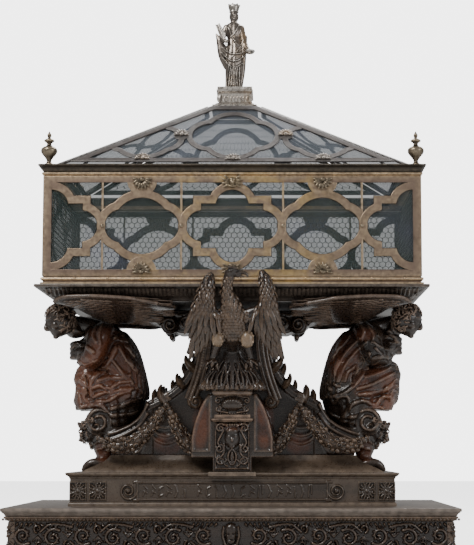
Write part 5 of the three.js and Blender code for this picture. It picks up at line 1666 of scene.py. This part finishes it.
def angel(side, head, fists, elbow, knee, folds, sink, stains):
    torso = limb("torso", [[300, 0, 400, 70, 60], [298, 0, 440, 84, 66], [300, 0, 490, 82, 56], [318, 0, 545, 80, 54],
                           [344, 0, 590, 66, 40], [390, 0, 618, 28, 24], [head[0] - 10, 0, head[1] - 4, 24, 24]], 28)
    shoulders = [ball(366, 0, 588, 40, 66, 34, 22, 14), ball(head[0] - 34, 0, head[1] - 24, 26, 34, 22, 18, 12)]
    half = [limb("arm", [[340, -56, 606, 24, 24], [352, -72, 584, 32, 31], [elbow, -84, 528, 27, 26],
                         [fists[0] - 22, -52, fists[1] - 20, 22, 22], [fists[0], -18, fists[1], 15, 15]], 16),
            limb("thigh", [[296, -44, 432, 44, 48], [360, -48, 462, 46, 42], [knee[0], -46, knee[1], 38, 32]], 18),
            limb("shin", [[knee[0], -46, knee[1] + 14, 33, 28], [knee[0] + 2, -44, 440, 34, 26],
                          [396, -42, 402, 30, 25]], 16)]
    skirt = limb("skirt", [[340, 0, 500, 62, 62], [334, 0, 440, 92, 84], [324, 0, 372, 92, 60]], 40, flutes=(13,
        0.045))
    hands = [ball(fists[0] - 2, 0, fists[1], 24, 28, 32, 18, 12), ball(fists[0] - 14, 0, fists[1] + 18, 22, 24, 20,
        16, 10),
             limb("cuff", [[fists[0] - 38, -46, fists[1] + 8, 12, 12], [fists[0] - 30, -56, fists[1] - 16, 13, 12],
                           [fists[0] - 10, -44, fists[1] - 30, 12, 11]], 12), ball(knee[0] - 2, -46, knee[1], 34,
                               36, 34, 18, 12),
             ball(knee[0] - 2, 46, knee[1], 34, 36, 34, 18, 12)]
    for sy in (-1, 1):
        for k in range(4):
            z = fists[1] + 20 - k * 12
            hands.append(limb("finger", [[fists[0] - 8, sy * 24, z + 2, 7, 7], [fists[0] + 14, sy * 20, z, 7.2, 7.2],
                                         [fists[0] + 25, sy * 6, z - 2, 6.6, 6.6], [fists[0] + 26, -sy * 6, z - 3,
                                             5, 5]],
                              9, (0, 0, 1), steps=2))
    half.append(angel_wing())
    parts = [torso, skirt] + shoulders + half + [twin(p, MY) for p in half] + hands
    o = carved("angel", parts, 2.6, 3)
    boolean(o, slab("a", [[150, 250], [352, 250], [352, 366], [346, 352], [330, 340], [302, 336], [274, 344], [252,
        360],
                          [234, 384], [229, 402], [227, 410], [150, 410]], -262, 262))
    boolean(o, slab("b", disc(352, 362, 33, 32), -262, 262))
    boolean(o, slab("c", [[352, 240], [480, 240], [480, 388], [352, 396]], -262, 262))
    folds = smooth_strokes(folds)
    sink = smooth_strokes(sink)
    for direction in ((0, -1, 0), (0, 1, 0)):
        carve(o, folds + sink, direction)
    dice = random.Random(21)
    outward = []
    for k in range(7):
        z, y = 505 - k * 16, 0
        outward.append((spline([[-70, z + 30], [-30, z + dice.uniform(-8, 4)], [20, z - 6], [74, z + 28]], 5), 6, 6,
                        7, 7))
    carve(o, outward, (1, 0, 0))
    back = []
    for k in range(-6, 7):
        back.append((spline([[k * 7, 600], [k * 11 + dice.uniform(-3, 3), 540], [k * 13, 480], [k * 14, 425]], 5),
                     6, 5, 7, 6))
    carve(o, back, (-1, 0, 0))
    apply(o, "SMOOTH", factor=0.45, iterations=1)
    dye(o, stains)
    f = face()
    m = (Matrix.Translation((head[0] - 2, -34, head[1])) @ Matrix.Rotation(math.radians(24), 4, "Y")
         @ Matrix.Rotation(math.radians(-16), 4, "Z") @ Matrix.Diagonal((1.24, 1.24, 1.22, 1)))
    turned_about(f, m)
    locks, dice = [], random.Random(5 + side)
    tree = BVHTree.FromObject(f, bpy.context.evaluated_depsgraph_get())
    for k in range(300):
        a, b = dice.uniform(0, 2 * math.pi), math.acos(dice.uniform(-0.75, 1))
        d = Vector((math.sin(b) * math.cos(a), math.sin(b) * math.sin(a), math.cos(b)))
        local = m.to_3x3().inverted() @ d
        if local.x > 0.40 and local.z < 0.50:
            continue
        hit, n, _, _ = tree.ray_cast(Vector((head[0] - 2, -34, head[1])) + d * 90, -d)
        if hit is None:
            continue
        q = n.to_track_quat("Z", "Y").to_matrix().to_4x4() @ Matrix.Rotation(dice.uniform(0, 6.3), 4, "Z")
        q = q @ Matrix.Diagonal((12.5, 12.5, dice.uniform(4.5, 6.5), 1))
        q.translation = hit - n * 2.4
        locks.append(q)
    hair = strewn("hair", HOOK, locks)
    quills = wing_feathers()
    quills = join("quills", [quills, twin(quills, MY)])
    body = join("angel", [o, f, hair, quills])
    if side < 0:
        turned_about(body, MX)
    return body


def boolean(o, cutter):
    apply(o, "BOOLEAN", operation="DIFFERENCE", solver="FAST", object=cutter)
    bpy.data.objects.remove(cutter)
    return o


# Folds and hollows of the two robes, as the right-hand figure would wear them.
ROLLED_ROBE = (
    [
     ([[309, 554], [321, 530], [340, 504], [364, 478], [376, 454], [372, 431]], 9, 7, 10, 8),
     ([[301, 559], [277, 520], [249, 483], [228, 446], [217, 425]], 6, 5, 8, 6),
     ([[285, 562], [262, 530], [241, 499], [228, 467]], 5, 4, 7, 5),
     ([[312, 583], [280, 572], [249, 536], [230, 504]], 6, 5, 7, 6),
     ([[317, 520], [291, 488], [264, 457], [238, 431]], 5, 4, 6, 4),
     ([[346, 617], [351, 588], [346, 562]], 6, 4, 6, 4),
     ([[364, 614], [369, 588], [359, 567]], 6, 4, 6, 4),
     ([[390, 604], [396, 583], [385, 567]], 6, 4, 6, 4),
     ([[438, 557], [419, 567], [390, 559], [364, 541]], 7, 6, 8, 7),
     ([[427, 520], [401, 509], [375, 509], [354, 520]], 7, 5, 6, 5),
     ([[372, 446], [348, 454], [325, 446], [301, 462], [275, 467]], 6, 5, 9, 7),
     ([[367, 425], [338, 436], [312, 441], [285, 446], [259, 449]], 6, 5, 9, 7),
     ([[359, 412], [327, 415], [301, 431], [277, 441]], 6, 5, 8, 6),
     ([[354, 467], [327, 478], [301, 475], [277, 483]], 6, 5, 6, 5),
     ([[317, 394], [285, 404], [249, 420], [228, 425]], 7, 6, 9, 7),
     ([[296, 378], [264, 383], [238, 399], [228, 415]], 6, 5, 8, 6),
     ([[417, 478], [401, 467], [380, 449]], 7, 6, 6, 6),
     ([[419, 473], [414, 441], [403, 399]], 8, 7, 7, 6),
     ([[396, 446], [390, 425], [380, 404]], 7, 6, 6, 5),
     ([[401, 397], [369, 404], [343, 402], [322, 378], [293, 378]], 8, 7, 10, 9)],
    [
     ([[390, 478], [380, 457], [385, 425]], 6, 5, -7, -5),
     ([[338, 454], [322, 439], [301, 446]], 5, 4, -6, -4),
     ([[301, 583], [322, 562], [333, 530]], 6, 5, -6, -5)])
SLEEVED_ROBE = (
    [
     ([[292, 599], [261, 567], [240, 515], [229, 467], [224, 431]], 7, 6, 7, 6),
     ([[303, 588], [271, 546], [250, 504], [245, 467], [256, 446]], 6, 5, 8, 6),
     ([[329, 578], [292, 541], [271, 504], [261, 467], [277, 454]], 5, 5, 7, 6),
     ([[345, 567], [308, 530], [287, 499], [277, 467]], 5, 4, 6, 5),
     ([[350, 538], [326, 509], [300, 491], [292, 467]], 6, 5, 9, 7),
     ([[353, 536], [345, 504], [326, 467], [292, 436], [261, 425]], 7, 6, 11, 8),
     ([[250, 425], [263, 410], [277, 425], [298, 425], [300, 404]], 6, 5, 9, 8),
     ([[366, 567], [382, 557], [413, 551], [434, 557]], 5, 4, 7, 5),
     ([[382, 588], [397, 578], [429, 572]], 5, 4, 7, 5),
     ([[371, 551], [387, 536], [418, 530]], 5, 4, 7, 5),
     ([[413, 604], [429, 588], [439, 572]], 5, 4, 7, 5),
     ([[329, 620], [340, 599], [334, 578]], 6, 4, 6, 5),
     ([[355, 614], [366, 588], [361, 567]], 6, 4, 6, 5),
     ([[355, 520], [392, 530], [424, 520], [434, 499]], 8, 6, 8, 6),
     ([[324, 446], [361, 457], [403, 478], [434, 494]], 6, 5, 8, 6),
     ([[329, 431], [366, 436], [403, 446], [434, 478]], 6, 5, 8, 6),
     ([[345, 478], [376, 488], [413, 504]], 6, 5, 6, 5),
     ([[434, 499], [429, 457], [413, 420]], 8, 7, 6, 5),
     ([[292, 378], [308, 404], [340, 415], [371, 404], [392, 425], [413, 425]], 7, 6, 10, 8),
     ([[287, 373], [319, 373], [350, 389], [382, 399], [397, 383]], 7, 6, 10, 8),
     ([[227, 404], [256, 378], [292, 362]], 7, 6, 8, 6)],
    [
     ([[340, 530], [319, 494], [313, 457]], 6, 5, -7, -5),
     ([[277, 567], [256, 520], [250, 478]], 5, 4, -6, -5),
     ([[345, 420], [371, 425], [403, 436]], 5, 4, -6, -4)])


settle(angel(-1, [464, 632], [412, 552], 372, [386, 474], ROLLED_ROBE[0], ROLLED_ROBE[1],
             [(330, 520, 62, 70), (350, 600, 40, 28), (360, 430, 66, 46), (396, 470, 26, 60), (290, 470, 50, 60)]),
       "kneeling_angel_left", WALNUT_DYED, "angel_left", None)
settle(angel(1, [460, 634], [420, 566], 378, [404, 484], SLEEVED_ROBE[0], SLEEVED_ROBE[1],
             [(372, 460, 60, 46), (290, 530, 44, 60), (390, 420, 40, 40), (340, 590, 30, 20)]),
       "kneeling_angel_right", WALNUT_DYED, "angel_right", None)

# ------------------------------------------------------------------ silver pedestal and saint
PZ = 1209.0
pedestal = risen("pedestal", 4, [[60, 60, PZ], [60, 60, PZ + 3.5], [57, 57, PZ + 5], [53, 53, PZ + 6], [51, 51,
    PZ + 9],
                                 [47, 47, PZ + 11.5], [43, 43, PZ + 13], [41.5, 41.5, PZ + 16], [41, 41, PZ + 30],
                                 [42, 42, PZ + 37], [45, 45, PZ + 41], [49, 49, PZ + 43.5], [49, 49, PZ + 48],
                                 [47, 47, PZ + 49.5], [47, 47, PZ + 55], [46, 46, PZ + 57]], square=True)
places = []
for turn in (Matrix.Identity(4), HALF_TURN, QUARTER, QUARTER.inverted()):
    for k in range(-4, 5):
        places.append(turn @ Matrix.Translation((k * 8.6, -41, PZ + 40)) @ Matrix.Rotation(math.pi, 4, "Y")
                      @ Matrix.Rotation(0.09, 4, "X") @ Matrix.Diagonal((25, 34, 26, 1)))
    places.append(turn @ Matrix.Rotation(math.pi / 4, 4, "Z") @ Matrix.Translation((0, -60, PZ + 44))
                  @ Matrix.Rotation(math.pi, 4, "Y") @ Matrix.Rotation(0.25, 4, "X") @ Matrix.Diagonal((46, 60, 30,
                      1)))
settle(join("pedestal", [pedestal, strewn("acanthus", LEAF, places)]), "silver_pedestal", SILVER, "pedestal",
       40)


def saint():
    z, cx = PZ + 57.4, -4
    parts = [limb("robe", [[cx, 0, z - 6, 24, 21], [cx - 1, 0, z + 34, 22, 19], [cx + 1, 0, z + 86, 25, 20],
                           [cx + 2, 0, z + 120, 22, 18], [cx, 0, z + 148, 18, 15], [cx - 1, 0, z + 168, 25, 15],
                           [cx, 0, z + 184, 20, 12], [cx, 0, z + 194, 8, 8], [cx, -1, z + 204, 7.5, 7.5]], 26,
                  (1, 0, 0), flutes=(9, 0.05)),
             ball(cx, -2, z + 211, 11, 13, 15, 20, 14), ball(cx, -14, z + 209, 2.2, 3, 3.6, 10, 8),
             ball(cx, -12, z + 203, 3.6, 2.4, 1.6, 10, 6), ball(cx, -10, z + 199, 4, 4, 3, 10, 6),
             ball(cx, 4, z + 209, 13, 12, 17, 18, 12),
             limb("arm", [[cx - 20, 0, z + 178, 9, 9], [cx - 31, -3, z + 150, 9, 9], [cx - 24, -20, z + 134, 6, 6],
                          [cx - 18, -24, z + 132, 5, 5]], 12, (0, 1, 0)),
             limb("arm", [[cx + 20, 0, z + 176, 9, 9], [cx + 29, -3, z + 130, 9, 9], [cx + 42, -20, z + 104, 6, 6],
                          [cx + 46, -25, z + 100, 5, 5]], 12, (0, 1, 0)),
             limb("flap", [[cx - 18, 0, z + 98, 16, 10], [cx - 34, 0, z + 124, 12, 9], [cx - 42, 0, z + 146, 7, 7],
                           [cx - 48, 0, z + 159, 3, 3]], 14, (1, 0, 0)),
             limb("fold", [[cx - 40, 0, z + 142, 8, 8], [cx - 34, 0, z + 100, 9, 9], [cx - 22, 0, z + 66, 6, 7]],
                  12, (1, 0, 0)),
             limb("fold", [[cx + 28, 0, z + 150, 9, 9], [cx + 26, -4, z + 112, 9, 9], [cx + 24, 0, z + 60, 8, 9],
                           [cx + 18, 0, z + 14, 7, 9]], 12, (1, 0, 0)),
             limb("hem", [[cx - 24, -14, z + 3, 5, 5], [cx, -21, z + 2, 5, 5], [cx + 22, -14, z + 3, 5, 5]], 10, (0,
                 0, 1))]
    o = carved("saint", parts, 1.35, 2)
    cut(o, (0, 0, z), (0, 0, -1))
    lines = [(spline([[cx - 16, z + 176], [cx - 6, z + 150], [cx + 6, z + 130], [cx + 22, z + 118]], 5), 2.6, 2.2,
              3.4, 3),
             (spline([[cx + 14, z + 180], [cx + 4, z + 160], [cx - 10, z + 146], [cx - 24, z + 140]], 5), 2.4, 2.0,
              3, 3),
             (spline([[cx - 30, z + 118], [cx - 10, z + 100], [cx + 10, z + 98], [cx + 28, z + 106]], 5), 3, 2.6,
              4.4, 4),
             (spline([[cx - 32, z + 104], [cx - 12, z + 82], [cx + 8, z + 78], [cx + 26, z + 92]], 5), 3, 2.4, 4.4,
              4),
             (spline([[cx - 28, z + 88], [cx - 12, z + 66], [cx + 4, z + 60], [cx + 24, z + 74]], 5), 2.8, 2.2, 4,
              3.4),
             (spline([[cx + 26, z + 140], [cx + 14, z + 112], [cx - 4, z + 90]], 5), 2.4, 2, 3, 2.4)]
    for k, x in enumerate((-19, -13, -7, -1, 5, 11, 17)):
        lines.append((spline([[cx + x * 0.8 + 2, z + 62], [cx + x + 2 * math.sin(k), z + 34], [cx + x * 1.05,
            z + 4]], 5),
                      2.2, 2.8, 3.2, 4))
    for direction in ((0, -1, 0), (0, 1, 0)):
        carve(o, lines, direction)
    crown = risen("crown", 14, [[10, 11, z + 219], [13, 13.5, z + 220], [12.6, 13, z + 225], [14.5, 15, z + 231],
                                [16, 16.5, z + 238], [15, 15.5, z + 239.4], [11, 11.5, z + 231], [4, 4, z + 229]])
    points = []
    for k in range(7):
        a = k * 2 * math.pi / 7
        points.append(Matrix.Translation((cx + 15 * math.cos(a), 15.5 * math.sin(a),
                                          z + 239.6)) @ Matrix.Diagonal((2.6, 2.6, 3.2, 1)))
    turned_about(crown, Matrix.Translation((cx, 0, 0)))
    dish = risen("dish", 18, [[3, 3, z + 97], [11, 11, z + 99], [14.4, 14.4, z + 104], [14, 14, z + 106], [11, 11,
        z + 103],
                              [2, 2, z + 102]])
    turned_about(dish, Matrix.Translation((cx + 44, -22, 0)))
    palm = [limb("stem", [[cx - 20, -26, z + 122, 1.6, 1.6], [cx - 30, -20, z + 150, 1.6, 1.6], [cx - 44, -14,
        z + 182, 1.2, 1.2]],
                 8, (0, 1, 0))]
    palm_leaves = [Matrix.Translation((cx - 26 - k * 2.2, -22 + k * 0.9,
                                       z + 140 + k * 5)) @ Matrix.Rotation(sx * 0.55 - 0.4, 4, "Y")
                   @ Matrix.Diagonal((15, 14, 17 - k * 0.8, 1)) for k in range(8) for sx in (-1, 1)]
    return join("saint", [o, crown, dish, strewn("points", BERRY, points), strewn("palm", LEAF, palm_leaves)] + palm)


settle(saint(), "silver_saint", SILVER, "saint", 60)

for t in (LEAF, SCALE, ROSE, HOOK, BERRY, CHERUB, SHELL, STUD, SMALL_STUD, long_wall, short_wall, long_lip,
          short_lip, long_fit, short_fit, long_slope, short_slope,
          long_boss, short_boss):
    bpy.data.objects.remove(t)

# ------------------------------------------------------------------ studio
deselect()
bpy.ops.mesh.primitive_plane_add(size=14, location=(0, 2.5, 0))
floor = bpy.context.object
floor.name = "studio_floor"
m, t, s = material("studio_paper")
s.inputs["Base Color"].default_value = (0.80, 0.80, 0.79, 1)
s.inputs["Roughness"].default_value = 0.9
s.inputs["Emission Color"].default_value = (1.0, 1.0, 1.0, 1)
glow = t.nodes.new("ShaderNodeLightPath")
lift = t.nodes.new("ShaderNodeMath")
lift.operation = "MULTIPLY"
lift.inputs[1].default_value = 2.6
t.links.new(glow.outputs["Is Camera Ray"], lift.inputs[0])
t.links.new(lift.outputs[0], s.inputs["Emission Strength"])
floor.data.materials.append(m)

world = bpy.context.scene.world or bpy.data.worlds.new("studio")
bpy.context.scene.world = world
world.use_nodes = True
tree = world.node_tree
tree.nodes["Background"].inputs["Color"].default_value = (1.0, 1.0, 1.0, 1)
seen = tree.nodes.new("ShaderNodeLightPath")
amount = tree.nodes.new("ShaderNodeMapRange")
amount.inputs["To Min"].default_value = 0.34
amount.inputs["To Max"].default_value = 4.5
# Painted shade behind the glass: the backdrop seen through one or more panes is dimmed to about 0.9 instead of 4.5.
panes = tree.nodes.new("ShaderNodeMapRange")
panes.inputs["To Min"].default_value = 1.0
panes.inputs["To Max"].default_value = 0.13
tree.links.new(seen.outputs["Transparent Depth"], panes.inputs["Value"])
behind = tree.nodes.new("ShaderNodeMath")
behind.operation = "MULTIPLY"
tree.links.new(seen.outputs["Is Camera Ray"], behind.inputs[0])
tree.links.new(panes.outputs["Result"], behind.inputs[1])
tree.links.new(behind.outputs[0], amount.inputs["Value"])
tree.links.new(amount.outputs["Result"], tree.nodes["Background"].inputs["Strength"])


def lamp(name, at, target, size, power, colour=(1, 1, 1)):
    data = bpy.data.lights.new(name, "AREA")
    data.shape = "RECTANGLE"
    data.size, data.size_y = size
    data.energy = power
    data.color = colour
    o = bpy.data.objects.new(name, data)
    bpy.context.scene.collection.objects.link(o)
    o.location = at
    o.rotation_euler = (Vector(target) - Vector(at)).to_track_quat("-Z", "Y").to_euler()


lamp("key_light", (-1.9, -2.6, 3.4), (0, 0, 0.7), (1.4, 1.4), 95, (1.0, 0.98, 0.95))
lamp("fill_light", (2.8, -2.4, 1.6), (0, 0, 0.6), (1.6, 1.6), 26, (0.97, 0.98, 1.0))
lamp("top_light", (0.4, 1.3, 3.4), (0, 0, 0.9), (2.2, 1.4), 75)

camera = bpy.data.objects.new("camera", bpy.data.cameras.new("camera"))
bpy.context.scene.collection.objects.link(camera)
bpy.context.scene.camera = camera
camera.data.sensor_width = 36
camera.data.lens = 87.2
camera.data.shift_x = -0.0624
camera.data.shift_y = 0.1145
camera.data.clip_end = 40
camera.location = (0.098, -3.540 + 0.001 * AHEAD, 0.281)
camera.rotation_euler = (math.radians(90 + 5.085), 0, 0)
